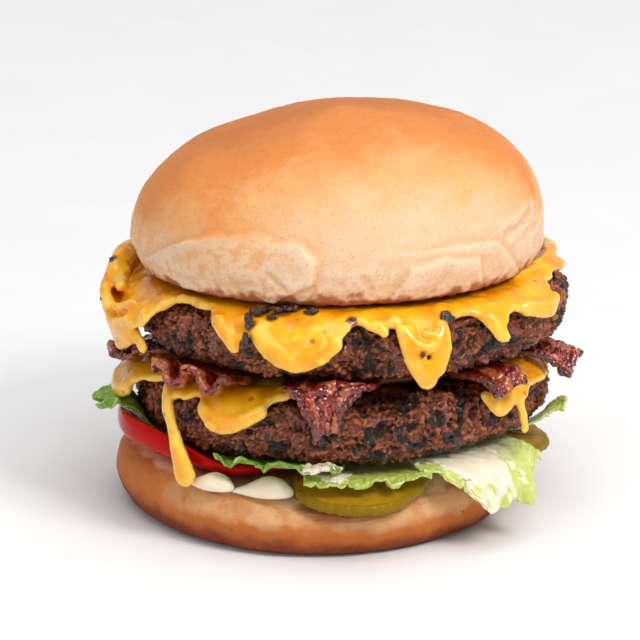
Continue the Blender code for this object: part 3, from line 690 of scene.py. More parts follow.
def add_run(bm, patty, points):
    """Chain of overlapping balls along a run of melted cheese."""
    points = np.array(points, dtype=float)
    shares = np.linspace(0.0, 1.0, 9 * (len(points) - 1) + 1)
    bearings, drop, thick, flare = along(points, shares).T
    wobble = 1.0 + 0.10 * wool(np.column_stack((bearings, drop, thick)), 2.2, patty.seed)
    run = sheet_edge(patty, bearings, drop * MM)
    spots = sheet_spots(patty, bearings, run, (0.25 * thick + 0.55) * MM, flare * MM)
    for spot, bearing, size in zip(spots, bearings, thick * wobble):
        add_ball(bm, spot, size * MM, bearing, 0.62)


def build_cheese(patty, name, hem, runs, creases, sizes, material):
    """Melted slice: a soft sheet over the patty, with thick runs down its side."""
    outer = [(0.0, 1.0)] + [(1.0 + ring, 1.0) for ring in range(SHEET_RINGS + 1)]
    inner = [(radius, 0.0) for radius, _ in reversed(outer)]
    bm = spun(outer + [(SHEET_RINGS + 1.2, 0.5)] + inner, 400, 1)
    coordinates = np.array([vert.co for vert in bm.verts])
    ring = np.hypot(coordinates[:, 0], coordinates[:, 1])
    bearings = bearings_of(coordinates[:, :2])
    drop, flare = hem_at(hem, bearings)
    ragged = np.column_stack((headings(bearings) * patty.radius, np.zeros(len(ring))))
    drop = drop + 0.75 * MM * layered(ragged, 5 * MM, patty.seed, 3)
    edge = sheet_edge(patty, bearings, drop)
    share = np.clip((ring - 1.0) / SHEET_RINGS, 0.0, 1.0)
    run = np.minimum(ring, 1.0) * SHEET_FLAT + (edge - SHEET_FLAT) * share**0.7
    hang = smoothstep(0.45, 0.98, share)
    lift = coordinates[:, 2] * 1.5 * MM
    for vert, spot in zip(bm.verts, sheet_spots(patty, bearings, run, lift, flare * hang)):
        vert.co = spot

    around = np.arange(-180.0, 180.0, 1.1)
    drop, flare = hem_at(hem, around)
    ragged = np.column_stack((headings(around) * patty.radius, np.zeros(len(around))))
    drop = drop + 0.75 * MM * layered(ragged, 5 * MM, patty.seed, 3)
    thick = (1.28 + 0.3 * wool(ragged, 7 * MM, patty.seed + 2.0)) * MM
    edges = sheet_spots(patty, around, sheet_edge(patty, around, drop) - 0.6 * MM, 0.8 * MM, flare)
    for spot, bearing, size in zip(edges, around, thick):
        add_ball(bm, spot, size, bearing, 0.8, 1)
    for points in runs:
        add_run(bm, patty, points)
    for points in creases:
        for x, y, z, thick in along(points, np.linspace(0.0, 1.0, 10 * (len(points) - 1) + 1)):
            add_ball(bm, (x * MM, y * MM, z * MM), thick * MM)

    mesh = melted(bm, name + "_melt", MELT_GRAIN, 5)
    spots = spots_of(mesh)
    plan = spots[:, :2] - patty.centre
    radius = np.hypot(plan[:, 0], plan[:, 1])
    showing = smoothstep(patty.radius - 14 * MM, patty.radius - 8 * MM, radius)
    drift = np.column_stack([wool(spots, 7 * MM, turn) for turn in (0.0, 1.0, 2.0)])
    streaks = spots * (1.0, 1.0, 0.4) + 2.0 * MM * drift
    ripple = 0.30 * wool(streaks, 9 * MM, 3.0) + 0.15 * wool(streaks, 4.2 * MM, 4.0)
    ripple = ripple + 0.07 * wool(streaks, 1.9 * MM, 5.0)
    pits, level = clumps(spots, 3.6 * MM, 8.0)
    bubble = np.where(level > 0.84, 0.35 * pits, 0.0)
    raise_along_normals(mesh, (ripple + bubble) * MM * sizes.cheese_ripple * showing)
    # Painted light: the convex crests of the cheese are marked to be painted paler, as if light came through
    # them.
    add_mark(mesh, "thin", np.clip(-hollows(mesh, 8, 0.30 * MM), 0.0, 1.0))
    # Painted shade: this mark darkens hollows of the melted cheese in the material.
    add_mark(mesh, "fold", np.clip(hollows(mesh, 8, 0.22 * MM), 0.0, 1.0))
    # Juice stain and painted shade: cheese near the patty's top edge, under what lies above it, is browned
    # in patches.
    near_top = smoothstep(patty.thickness - 4.5 * MM, patty.thickness + 0.5 * MM, spots[:, 2] - patty.floor)
    add_mark(mesh, "stain", near_top * smoothstep(-0.25, 0.6, layered(spots, 9 * MM, 21.0, 3)))
    burn = np.zeros(len(spots))
    for place, half_sizes, _ in SCRAPS:
        away = np.linalg.norm(spots - np.array(place) * MM, axis=1) / MM - 0.6 * max(half_sizes)
        burn = np.maximum(burn, np.exp(-np.maximum(away + 0.5 * ripple, 0.0) / 0.9))
    # Painted shade: the lower slice is darkened where it lies in the gap under the upper patty.
    if patty is LOWER:
        aside = np.abs(turn_between(bearings_of(plan), JUICE_BEARING))
        soaked = smoothstep(JUICE_REACH + 8.0, JUICE_REACH, aside)
        inside = smoothstep(patty.radius - 5 * MM, patty.radius - 9 * MM, radius)
        burn = np.maximum(burn, soaked * inside)
    add_mark(mesh, "burn", burn)
    return finish_piece(mesh, name + "_melt", material, [name])


def strip_spots(strip, centre, base, share, side):
    """Places on a strip's middle surface, for shares along and across it, and how free they hang."""
    path = np.array(strip.path, dtype=float) * MM
    share = share * (1.0 - strip.slant * (smoothstep(0.1, -1.0, side) + 0.6 * smoothstep(0.3, 1.0, side)))
    spot = along(path, share)
    out = spot[..., 0]
    free = smoothstep(49 * MM, 60 * MM, out)
    reach = strip.half_width * MM * (1.0 - strip.taper * smoothstep(0.3, 1.0, share) ** 1.5)
    sideways = side * reach
    swing = strip.wave * MM * free * np.sin(math.pi * strip.waves * side + 2.0 * strip.roll)
    if strip.arc:
        across = strip.bearing + np.degrees(sideways / path[-1, 0])
        scallop = 0.8 * MM * free * np.sin(2.0 * math.pi * strip.waves * side + strip.roll)
        plan = centre + headings(across) * (out + scallop)[..., None]
    else:
        plan = centre + headings(strip.bearing) * out[..., None]
        plan = plan + headings(strip.bearing + 90.0) * sideways[..., None]
    fold = strip.roll * MM * 1.5 * free * side
    height = base + spot[..., 1] + swing + fold
    return np.concatenate((plan, height[..., None]), axis=-1), free


def sheet_mesh(name, middle, half, rows_along, rows_across):
    """Closed body around a grid of middle places, rounded at its edges."""
    bm = bmesh.new()
    bmesh.ops.create_grid(bm, x_segments=rows_along, y_segments=2 * rows_across, size=0.5)
    flat = np.array([vert.co for vert in bm.verts])
    row = np.rint((flat[:, 0] + 0.5) * rows_along).astype(int)
    turn = np.rint((flat[:, 1] + 0.5) * 2 * rows_across).astype(int)
    top = turn <= rows_across
    column = np.where(top, turn, 2 * rows_across - turn)
    normal = np.cross(np.gradient(middle, axis=0), np.gradient(middle, axis=1))
    normal /= np.maximum(np.linalg.norm(normal, axis=-1, keepdims=True), 1e-12)
    along_edge = np.minimum(np.minimum(row, rows_along - row) / 3.0, 1.0)
    across_edge = np.minimum(np.minimum(column, rows_across - column) / 3.0, 1.0)
    close = np.sqrt(1.0 - (1.0 - along_edge) ** 2) * np.sqrt(1.0 - (1.0 - across_edge) ** 2)
    offset = half[row, column] * close * np.where(top, 1.0, -1.0)
    spots = middle[row, column] + normal[row, column] * offset[:, None]
    row_mark = bm.verts.layers.int.new("row")
    column_mark = bm.verts.layers.int.new("column")
    for vert, spot, at_row, at_column in zip(bm.verts, spots, row.tolist(), column.tolist()):
        vert.co = spot
        vert[row_mark] = at_row
        vert[column_mark] = at_column
    return mesh_of(bm, name)


def grid_values(mesh, values):
    """A grid's values at a sheet mesh's vertices."""
    rows = np.empty(len(mesh.vertices), np.int32)
    columns = np.empty(len(mesh.vertices), np.int32)
    mesh.attributes["row"].data.foreach_get("value", rows)
    mesh.attributes["column"].data.foreach_get("value", columns)
    return values[rows, columns]


def strip_grid(rows_along, rows_across):
    """Shares along and across a strip, closer together towards its edges."""
    steps = np.linspace(0.0, 1.0, rows_along + 1)
    share = 0.65 * steps + 0.35 * (0.5 - 0.5 * np.cos(math.pi * steps))
    steps = np.linspace(-1.0, 1.0, rows_across + 1)
    side = 0.55 * steps + 0.45 * np.sin(0.5 * math.pi * steps)
    return np.meshgrid(share, side, indexing="ij")


def flat_wool(first, second, size, seed, layers=2):
    """Noise over a grid of two coordinates."""
    spots = np.column_stack((first.ravel(), second.ravel(), np.zeros(first.size)))
    return layered(spots, size, seed, layers).reshape(first.shape)


def build_bacon(name, strip, sizes, material):
    """Strip of fried bacon: crumpled, with streaks of lean and fat along it."""
    seed = sum(map(ord, name)) % 17
    rows_along, rows_across = (70, 150) if strip.arc else (150, 56)
    share, side = strip_grid(rows_along, rows_across)
    middle, free = strip_spots(strip, BACON_CENTRE, BACON_MID, share, side)
    length = share * (strip.path[-1][0] - strip.path[0][0]) * MM
    width = side * strip.half_width * MM
    across, lengthwise = (length, width) if strip.arc else (width, length)
    crumple = flat_wool(across * 0.7, lengthwise, 4.2 * MM, seed, 3)
    buckle = np.sin(lengthwise / (1.55 * MM) + 2.2 * flat_wool(across, lengthwise, 9 * MM, seed + 5))
    ragged = flat_wool(np.zeros_like(lengthwise), lengthwise, 2.6 * MM, seed + 9, 3)
    loose = free * sizes.bacon_ripple * MM
    middle[..., 2] += loose * (1.05 * crumple + 0.40 * buckle * (0.35 + np.abs(side)))
    push = loose * (0.8 * crumple + 0.75 * ragged * smoothstep(0.55, 1.0, np.abs(side)))
    middle[..., :2] += headings(strip.bearing) * push[..., None]
    drift = flat_wool(across, lengthwise * 0.35, 6 * MM, seed + 2)
    streak = np.sin(across / (1.15 * MM) + 1.7 * drift + seed)
    fat = smoothstep(0.15, 0.9, streak + 0.5 * flat_wool(across, lengthwise, 1.6 * MM, seed + 3))
    half = (0.80 + 0.18 * fat + 0.30 * flat_wool(across, lengthwise, 1.5 * MM, seed + 6)) * MM
    mesh = sheet_mesh(name + "_fried", middle, half, rows_along, rows_across)
    add_mark(mesh, "fat", grid_values(mesh, fat))
    crisp = smoothstep(0.5, 1.0, np.abs(side)) + 0.7 * flat_wool(across, lengthwise, 5 * MM, seed + 8)
    add_mark(mesh, "crisp", grid_values(mesh, np.clip(crisp, 0.0, 1.0)))
    return finish_piece(mesh, name + "_fried", material, [name])


def build_leaf(name, strip, sizes, material, nodes):
    """Lettuce leaf: thin, veined, frilled towards its outer edge."""
    seed = sum(map(ord, name)) % 19
    rows_along, rows_across = 100, 150
    share, side = strip_grid(rows_along, rows_across)
    middle, free = strip_spots(strip, LOWER.centre, 0.0, share, side)
    width = side * strip.half_width * MM
    length = share * 30 * MM
    outer = smoothstep(0.45, 1.0, share)
    rim = np.maximum(outer, smoothstep(0.72, 1.0, np.abs(side)) * smoothstep(0.3, 0.7, share))
    phase = width / (1.9 * MM) + 3.0 * flat_wool(width, length, 9 * MM, seed)
    frill = 1.05 * np.sin(phase) * rim**2 + 0.45 * np.sin(2.3 * phase + 1.0) * rim**3
    pucker = 0.30 * flat_wool(width, length, 2.3 * MM, seed + 3, 2)
    lift = (frill * (0.4 + 0.6 * free) + pucker * (0.15 + outer)) * sizes.leaf_frill * MM
    middle[..., 2] += lift * smoothstep(0.15, 0.6, share)
    ragged = flat_wool(width, np.zeros_like(width), 2.2 * MM, seed + 7, 3)
    reach = (0.9 * ragged + 0.8 * np.cos(phase)) * MM * outer**2
    middle[..., :2] += headings(strip.bearing) * reach[..., None]
    rib = np.exp(-((side / (0.05 + 0.06 * (1.0 - share))) ** 2)) * (1.0 - 0.8 * share)
    fan = np.abs(side) * 5.5 - share * 9.0 + 0.7 * flat_wool(width, length, 7 * MM, seed + 4)
    branch = smoothstep(0.30, 0.0, np.abs(np.sin(fan))) * smoothstep(0.03, 0.2, np.abs(side))
    net, _ = clumps(np.column_stack((width.ravel(), length.ravel(), 0.0 * width.ravel())), 2.4 * MM, seed)
    vein = np.maximum.reduce((rib, 0.75 * branch, 0.4 * smoothstep(0.45, 0.1, net.reshape(width.shape))))
    coat = np.zeros_like(side)
    if name in COATS:
        at_side, at_share, wide, long = COATS[name]
        away = np.hypot((side - at_side) / wide, (share - at_share) / long)
        coat = smoothstep(1.0, 0.62, away + 0.45 * flat_wool(width, length, 5 * MM, seed + 11, 3))
    vein = vein * (1.0 - coat)
    half = (0.26 + 0.16 * vein + 0.35 * rib * (1.0 - coat)) * MM + coat * (0.55 + 0.3 * pucker) * MM
    mesh = sheet_mesh(name + "_leaf", middle, half, rows_along, rows_across)
    add_mark(mesh, "coat", grid_values(mesh, coat))
    add_mark(mesh, "vein", grid_values(mesh, vein))
    pale = smoothstep(0.85, 0.25, share) + 0.3 * flat_wool(width, length, 8 * MM, seed + 1)
    add_mark(mesh, "pale", grid_values(mesh, np.clip(pale, 0.0, 1.0)))
    return finish_piece(mesh, name + "_leaf", material, nodes)


def build_slice(name, piece, material, wet):
    """Round slice with a firm skin and a soft wet face."""
    half = 0.5 * piece.thickness
    rings = np.linspace(0.0, 1.0, 13)[1:-1] * (piece.radius - 0.9 * half)
    profile = [(0.0, -half)] + [(ring, -half) for ring in rings]
    for step in range(7):
        angle = math.radians(-90.0 + 180.0 * step / 6)
        profile.append((piece.radius - 0.9 * half * (1.0 - math.cos(angle)), half * math.sin(angle)))
    profile += [(ring, half) for ring in reversed(rings)] + [(0.0, half)]
    mesh = mesh_of(spun(profile, 320, 3), name + "_cut")
    flat = spots_of(mesh)
    angle = np.radians(bearings_of(flat[:, :2]))
    radius = np.hypot(flat[:, 0], flat[:, 1])
    wide = 1.0 + 0.03 * np.sin(2.0 * angle + piece.seed) + 0.015 * np.sin(5.0 * angle)
    plan = piece.centre + flat[:, :2] * wide[:, None]
    away = np.linalg.norm(plan - LOWER.centre, axis=1)
    bend = piece.bend * smoothstep(piece.bend_from, piece.bend_to, away)
    fuller = 1.0 + piece.swell / piece.thickness * smoothstep(50 * MM, 58 * MM, away)
    put_spots(mesh, np.column_stack((plan, piece.height + bend + flat[:, 2] * fuller)))
    turn_outwards(mesh)
    skin = smoothstep(piece.radius - 1.5 * MM, piece.radius - 0.5 * MM, radius)
    core = radius / piece.radius
    spoke = np.sin(6.0 * angle + 0.6 * layered(flat, 8 * MM, piece.seed, 2))
    pocket = smoothstep(0.1, 0.7, spoke) * smoothstep(0.25, 0.4, core) * smoothstep(0.86, 0.72, core)
    lump = 0.12 * layered(flat, 2.6 * MM, piece.seed, 3) * (1.0 - 0.7 * skin) - wet * 0.3 * pocket
    ribs = np.column_stack((headings(np.degrees(angle)) * piece.radius, 0.3 * flat[:, 2]))
    lump += (1.0 - wet) * skin * (0.55 * layered(ribs, 2.2 * MM, 5.0, 3) + 0.2)
    raise_along_normals(mesh, lump * MM)
    add_mark(mesh, "skin", skin)
    add_mark(mesh, "pocket", pocket)
    return finish_piece(mesh, name + "_cut", material, [name])


def build_dollop(name, dollop, material):
    """Soft drop of thick sauce."""
    bm = bmesh.new()
    bmesh.ops.create_icosphere(bm, subdivisions=6, radius=1.0)
    mesh = mesh_of(bm, name + "_drop")
    ball = spots_of(mesh)
    lump = 1.0 + 0.07 * wool(ball, 0.9, dollop.seed)
    full = 1.0 - 0.62 * smoothstep(0.25, -1.0, ball[:, 0]) - 0.12 * smoothstep(0.6, 1.0, ball[:, 0])
    turn = math.radians(dollop.turn)
    along_x = ball[:, 0] * dollop.half_length * 1.12
    along_y = ball[:, 1] * dollop.half_depth * lump * full
    ridge = 1.0 - 0.16 * np.exp(-((ball[:, 1] - 0.25 * ball[:, 0] - 0.1) / 0.16) ** 2)
    rise = (np.maximum(ball[:, 2], -0.35) + 0.35) / 1.35 * dollop.height * full * lump * ridge
    spots = np.column_stack((
        dollop.centre[0] + along_x * math.cos(turn) - along_y * math.sin(turn),
        dollop.centre[1] + along_x * math.sin(turn) + along_y * math.cos(turn),
        HEEL_THICKNESS + dollop.level - 0.3 * MM + rise,
    ))
    put_spots(mesh, spots)
    add_mark(mesh, "warm", 0.5 + 0.5 * wool(spots, 5 * MM, 3.0))
    return finish_piece(mesh, name + "_drop", material, [name], lean=False)


def build_scraps(material):
    """Charred scraps of onion and bacon stuck in the cheese."""
    bm = bmesh.new()
    for place, half_sizes, turn in SCRAPS:
        scale = Matrix.Diagonal((*(size * MM for size in half_sizes), 1.0))
        turned = Matrix.Rotation(math.radians(turn), 4, "Z")
        matrix = Matrix.Translation(Vector(place) * MM) @ turned @ scale
        bmesh.ops.create_icosphere(bm, subdivisions=5, radius=1.0, matrix=matrix)
    mesh = mesh_of(bm, "charred_scraps")
    spots = spots_of(mesh)
    raise_along_normals(mesh, (0.7 * layered(spots, 2.2 * MM, 4.0, 4)) * MM)
    add_mark(mesh, "edge", np.clip(0.5 - hollows(mesh, 3, 0.15 * MM), 0.0, 1.0))
    return finish_piece(mesh, "charred_scraps", material, [])


def heel_profile():
    """Half section of the bottom bun."""
    side = (
        (HEEL_FOOT, 0.0),
        (HEEL_FOOT + 3.4 * MM, 1.3 * MM),
        (HEEL_RADIUS - 1.2 * MM, 4.2 * MM),
        (HEEL_RADIUS, HEEL_WAIST),
        (HEEL_RADIUS - 0.8 * MM, HEEL_THICKNESS - 3.2 * MM),
        (HEEL_RADIUS - 3.2 * MM, HEEL_THICKNESS - 0.8 * MM),
        (HEEL_RADIUS - 7.0 * MM, HEEL_THICKNESS),
    )
    profile = [(0.0, 0.0)] + [(HEEL_FOOT * share, 0.0) for share in (0.5, 0.8, 0.93, 0.98)]
    profile += [tuple(spot) for spot in along(side, np.linspace(0.0, 1.0, 17))]
    top = HEEL_RADIUS - 7.0 * MM
    profile += [(top * (1.0 - step / 15), HEEL_THICKNESS) for step in range(1, 15)]
    return profile + [(0.0, HEEL_THICKNESS)]


def build_heel(sizes, material):
    """Bottom bun: baked side with painted shade on its left, pale crumb on top."""
    mesh = mesh_of(spun(heel_profile(), 600), "bun_heel_crust")
    flat = spots_of(mesh)
    radius = np.hypot(flat[:, 0], flat[:, 1])
    bearings = bearings_of(flat[:, :2])
    angle = np.radians(bearings)
    wide = 1.0 + 0.010 * np.sin(2.0 * angle + 0.8) + 0.006 * np.sin(5.0 * angle + 2.0)
    upper = smoothstep(HEEL_WAIST, HEEL_THICKNESS, flat[:, 2])
    dish = HEEL_DISH * (1.0 - smoothstep(20 * MM, 46 * MM, radius))
    away = np.abs(turn_between(bearings, HEEL_DENT_BEARING)) / 30.0
    dent = HEEL_DENT * (1.0 - smoothstep(0.3, 1.0, away)) * smoothstep(40 * MM, 50 * MM, radius)
    aside = np.abs(turn_between(bearings, HEEL_RISE_BEARING)) / HEEL_RISE_REACH
    rise = HEEL_RISE * (1.0 - smoothstep(0.2, 1.0, aside)) * smoothstep(36 * MM, 48 * MM, radius)
    plan = HEEL_CENTRE + headings(bearings) * (radius * wide)[:, None]
    put_spots(mesh, np.column_stack((plan, flat[:, 2] + upper * (rise - dish - dent))))
    turn_outwards(mesh)
    around = np.column_stack((headings(bearings) * HEEL_RADIUS, np.zeros(len(flat))))
    line = HEEL_THICKNESS - 0.7 * MM + 0.5 * MM * layered(around, 14 * MM, 2.0, 3)
    crumb = smoothstep(line - 0.4 * MM, line + 0.4 * MM, flat[:, 2])
    toast = np.exp(-(((flat[:, 2] - line) / (0.7 * MM)) ** 2))
    toast = toast * smoothstep(-0.1, 0.5, wool(around, 9 * MM, 12.0))
    bread, hole_level = clumps(flat, 2.1 * MM, 3.0)
    pores = np.where(hole_level > 0.55, -0.5 * bread, 0.1) + 0.35 * layered(flat, 3.2 * MM, 5.0, 3)
    wrinkle = 0.32 * layered(flat, 11 * MM, 1.0, 2)
    wrinkle = wrinkle + 0.10 * layered(flat * (1.0, 1.0, 3.5), 3.4 * MM, 7.0, 3)
    scratch = np.abs(layered(flat * (1.0, 1.0, 0.45), 5 * MM, 6.0, 3))
    split = smoothstep(0.06, 0.0, scratch) * smoothstep(0.25, 0.6, wool(flat, 8 * MM, 4.0)) * (1.0 - crumb)
    heights = crumb * 0.5 * pores + (1.0 - crumb) * sizes.crust_relief * (wrinkle - 0.35 * split)
    off_ground = smoothstep(0.0, 2.0 * MM, flat[:, 2])
    raise_along_normals(mesh, (heights - 0.1) * MM * off_ground)
    spots = spots_of(mesh)
    spots[:, 2] = np.maximum(spots[:, 2], 0.0)
    put_spots(mesh, spots)
    add_mark(mesh, "crumb", crumb)
    rise = smoothstep(0.0, 11 * MM, flat[:, 2] + 1.2 * MM * layered(flat, 9 * MM, 8.0, 2))
    # Painted shade: the left side of the bottom bun is darkened.
    rise -= 0.4 * np.exp(-((turn_between(bearings, -75.0) / 32.0) ** 2))
    add_mark(mesh, "rise", rise)
    add_mark(mesh, "split", split)
    add_mark(mesh, "toast", toast)
    return finish_piece(mesh, "bun_heel_crust", material, ["bun_heel"], lean=False)


def crown_profile(steps):
    """Half section of the top bun: cut face, tucked rim and full dome."""
    flat = CROWN_RADIUS - CROWN_TUCK
    points = [(0.0, 0.0)] + [(flat * share, 0.0) for share in (0.35, 0.6, 0.8, 0.92, 0.98, 1.0)]
    for step in range(1, 7):
        angle = math.radians(90.0 * step / 7)
        wide = CROWN_RADIUS - CROWN_TUCK * (1.0 - math.sin(angle))
        points.append((wide, CROWN_WAIST * (1.0 - math.cos(angle))))
    rise = CROWN_HEIGHT - CROWN_WAIST
    for step in range(steps):
        angle = math.radians(90.0 * step / steps)
        wide = CROWN_RADIUS * math.cos(angle) ** (2.0 / CROWN_FULLNESS)
        points.append((wide, CROWN_WAIST + rise * math.sin(angle) ** (2.0 / CROWN_FULLNESS)))
    points.append((0.0, CROWN_HEIGHT))
    return points


def fold_relief(bearings, heights, fold):
    """Height of the skin beside a fold: a step up on its left that fades away from it."""
    points = np.array(fold.points, dtype=float)
    scale = math.radians(1.0) * CROWN_RADIUS / MM
    first = np.column_stack((turn_between(bearings, points[0, 0]) * scale, heights / MM))
    line = np.column_stack((turn_between(points[:, 0], points[0, 0]) * scale, points[:, 1]))
    nearest = np.full(len(first), 1e9)
    signed = np.full(len(first), 1e9)
    for start, end in zip(line, line[1:]):
        run = end - start
        share = np.clip(((first - start) @ run) / (run @ run), 0.0, 1.0)
        offset = first - start - share[:, None] * run
        away = np.linalg.norm(offset, axis=1)
        sign = np.sign(run[0] * (first - start)[:, 1] - run[1] * (first - start)[:, 0])
        closer = away < nearest
        nearest = np.where(closer, away, nearest)
        signed = np.where(closer, away * sign, signed)
    if fold.height < 0.0:
        groove = fold.height * np.exp(-((nearest / (1.6 * fold.width)) ** 2))
        return groove + 0.35 * abs(fold.height) * np.exp(-((nearest / fold.fade) ** 2))
    step = fold.height * smoothstep(-fold.width, fold.width, signed)
    return step * np.exp(-np.maximum(signed, 0.0) / fold.fade)


def build_crown(sizes, material):
    """Top bun: baked dome with folded skin, browner on top, pale towards its cut rim."""
    mesh = mesh_of(spun(crown_profile(26), 600), "bun_crown_crust")
    flat = spots_of(mesh)
    radius = np.hypot(flat[:, 0], flat[:, 1])
    bearings = bearings_of(flat[:, :2])
    angle = np.radians(bearings)
    upper = smoothstep(0.5 * CROWN_WAIST, CROWN_WAIST, flat[:, 2])
    wide = 1.0 + 0.010 * np.sin(2.0 * angle + 2.2) + 0.006 * np.sin(3.0 * angle)
    swell = 0.7 * MM * wool(flat, 26 * MM, 4.0)
    out = radius * wide + upper * swell * np.minimum(radius / (20 * MM), 1.0)
    plan = CROWN_CENTRE + headings(bearings) * out[:, None]
    raised = upper * (CROWN_TILT * flat[:, 0] + swell * flat[:, 2] / CROWN_HEIGHT)
    put_spots(mesh, np.column_stack((plan, CROWN_FLOOR + flat[:, 2] + raised)))
    turn_outwards(mesh)
    skin = 0.16 * layered(flat, 7 * MM, 3.0, 2) + 0.05 * layered(flat * (1.0, 1.0, 2.0), 2.2 * MM, 6.0, 3)
    skin += 0.34 * layered(flat, 5.5 * MM, 15.0, 3) * smoothstep(15 * MM, 5 * MM, flat[:, 2])
    skin += 0.035 * layered(flat, 1.5 * MM, 41.0, 2)
    low = smoothstep(0.3 * MM, 2.2 * MM, flat[:, 2])
    warped = bearings + 1.0 * layered(flat, 6 * MM, 9.0, 2)
    levels = flat[:, 2] + 0.6 * MM * layered(flat, 6 * MM, 10.0, 2)
    folds = sum(fold_relief(warped, levels, fold) for fold in CROWN_FOLDS)
    bulge = np.hypot(turn_between(bearings, -27.0) * 0.94 / 15.0, (flat[:, 2] / MM - 10.5) / 6.5)
    folds = folds + 0.9 * np.exp(-(bulge**2))
    outside = smoothstep(0.4 * CROWN_RADIUS, 0.7 * CROWN_RADIUS, radius)
    ragged = layered(flat, 2.4 * MM, 12.0, 3) * smoothstep(2.4 * MM, 0.4 * MM, flat[:, 2]) * outside
    heights = (skin + folds * outside) * sizes.crust_relief * low + 0.35 * ragged
    raise_along_normals(mesh, heights * MM)
    bake = 1.3 * smoothstep(8 * MM, 46 * MM, flat[:, 2]) ** 1.6 + 0.13 * layered(flat, 18 * MM, 2.0, 4)
    bake += hem_at(BAKE_SIDES, bearings)[0] * smoothstep(4 * MM, 20 * MM, flat[:, 2])
    for bearing, height, size, amount in BAKE_SPOTS:
        away = np.hypot(turn_between(bearings, bearing) * 0.94, flat[:, 2] / MM - height) / size
        bake += amount * np.exp(-(away**2)) * smoothstep(0.0, 20 * MM, radius)
    bake += 0.10 * layered(flat * (1.0, 1.0, 2.5), 3.5 * MM, 17.0, 3)
    add_mark(mesh, "bake", bake)
    edge = smoothstep(4.6 * MM, 1.2 * MM, flat[:, 2] + 2.2 * MM * layered(flat, 5 * MM, 13.0, 4))
    add_mark(mesh, "rim", edge)
    specks = smoothstep(0.42, 0.75, layered(flat, 2.6 * MM, 31.0, 3))
    specks = specks * smoothstep(13 * MM, 3 * MM, flat[:, 2])
    add_mark(mesh, "speck", specks)
    # Painted shade in the fold lines and a painted highlight on their raised crests, both read from the
    # skin's bends.
    bent = hollows(mesh, 10, 0.10 * MM)
    add_mark(mesh, "fold", np.clip(bent, 0.0, 1.0))
    # Painted highlight: raised crests of the folds are marked to be paled.
    add_mark(mesh, "crest", np.clip(-bent, 0.0, 1.0) * smoothstep(20 * MM, 15 * MM, flat[:, 2]))
    return finish_piece(mesh, "bun_crown_crust", material, ["bun_crown"])


# Materials

def new_material(name):
    """Empty node material with its shader."""
    material = bpy.data.materials.new(name)
    material.use_nodes = True
    tree = material.node_tree
    return material, tree, tree.nodes["Principled BSDF"]


def add_node(tree, kind, values=None, **settings):
    """Node with its settings and input values."""
    made = tree.nodes.new(kind)
    for key, value in settings.items():
        setattr(made, key, value)
    for key, value in (values or {}).items():
        made.inputs[key].default_value = value
    return made


def mix_colours(tree, share, first, second):
    """Colour between two colours or colour sockets."""
    mixer = add_node(tree, "ShaderNodeMix", data_type="RGBA")
    for key, value in ((0, share), (6, first), (7, second)):
        if isinstance(value, bpy.types.NodeSocket):
            tree.links.new(value, mixer.inputs[key])
        else:
            mixer.inputs[key].default_value = value if key == 0 else (value[0], value[1], value[2], 1.0)
    return mixer.outputs[2]


def mark(tree, name):
    """Value that the mesh carries."""
    return add_node(tree, "ShaderNodeAttribute", attribute_name=name).outputs["Fac"]


def ramp(tree, source, low, high, start=0.0, end=1.0):
    """Value remapped from low..high to start..end."""
    limits = {1: low, 2: high, 3: start, 4: end}
    made = add_node(tree, "ShaderNodeMapRange", limits, interpolation_type="SMOOTHSTEP")
    tree.links.new(source, made.inputs["Value"])
    return made.outputs["Result"]


def layer(tree, under, over, source, low, high, most=1.0):
    """Colour laid over another as a value, or a mark of the mesh, goes from low to high."""
    if isinstance(source, str):
        source = mark(tree, source)
    return mix_colours(tree, ramp(tree, source, low, high, 0.0, most), under, over)


def combine(tree, operation, first, second):
    """Sum or product of two values."""
    made = add_node(tree, "ShaderNodeMath", operation=operation)
    for key, value in ((0, first), (1, second)):
        if isinstance(value, bpy.types.NodeSocket):
            tree.links.new(value, made.inputs[key])
        else:
            made.inputs[key].default_value = value
    return made.outputs[0]


def speckle_group():
    """Mottling at two sizes and rounded cells, on object coordinates."""
    group = bpy.data.node_groups.get("speckle")
    if group:
        return group
    group = bpy.data.node_groups.new("speckle", "ShaderNodeTree")
    for name, value in (("Large Scale", 120.0), ("Fine Scale", 900.0)):
        socket = group.interface.new_socket(name, in_out="INPUT", socket_type="NodeSocketFloat")
        socket.default_value = value
    for name in ("Mottle", "Fine", "Cells"):
        group.interface.new_socket(name, in_out="OUTPUT", socket_type="NodeSocketFloat")
    start = group.nodes.new("NodeGroupInput")
    end = group.nodes.new("NodeGroupOutput")
    place = group.nodes.new("ShaderNodeTexCoord")
    large = add_node(group, "ShaderNodeTexNoise", {"Detail": 6.0, "Roughness": 0.62})
    fine = add_node(group, "ShaderNodeTexNoise", {"Detail": 4.0, "Roughness": 0.65})
    cells = add_node(group, "ShaderNodeTexVoronoi", feature="F1")
    for made, scale in ((large, "Large Scale"), (fine, "Fine Scale"), (cells, "Large Scale")):
        group.links.new(place.outputs["Object"], made.inputs["Vector"])
        group.links.new(start.outputs[scale], made.inputs["Scale"])
    group.links.new(large.outputs["Fac"], end.inputs["Mottle"])
    group.links.new(fine.outputs["Fac"], end.inputs["Fine"])
    group.links.new(cells.outputs["Distance"], end.inputs["Cells"])
    return group


def speckle(tree, large, fine):
    """Speckle group with its sizes."""
    made = tree.nodes.new("ShaderNodeGroup")
    made.node_tree = speckle_group()
    made.inputs["Large Scale"].default_value = large
    made.inputs["Fine Scale"].default_value = fine
    return made


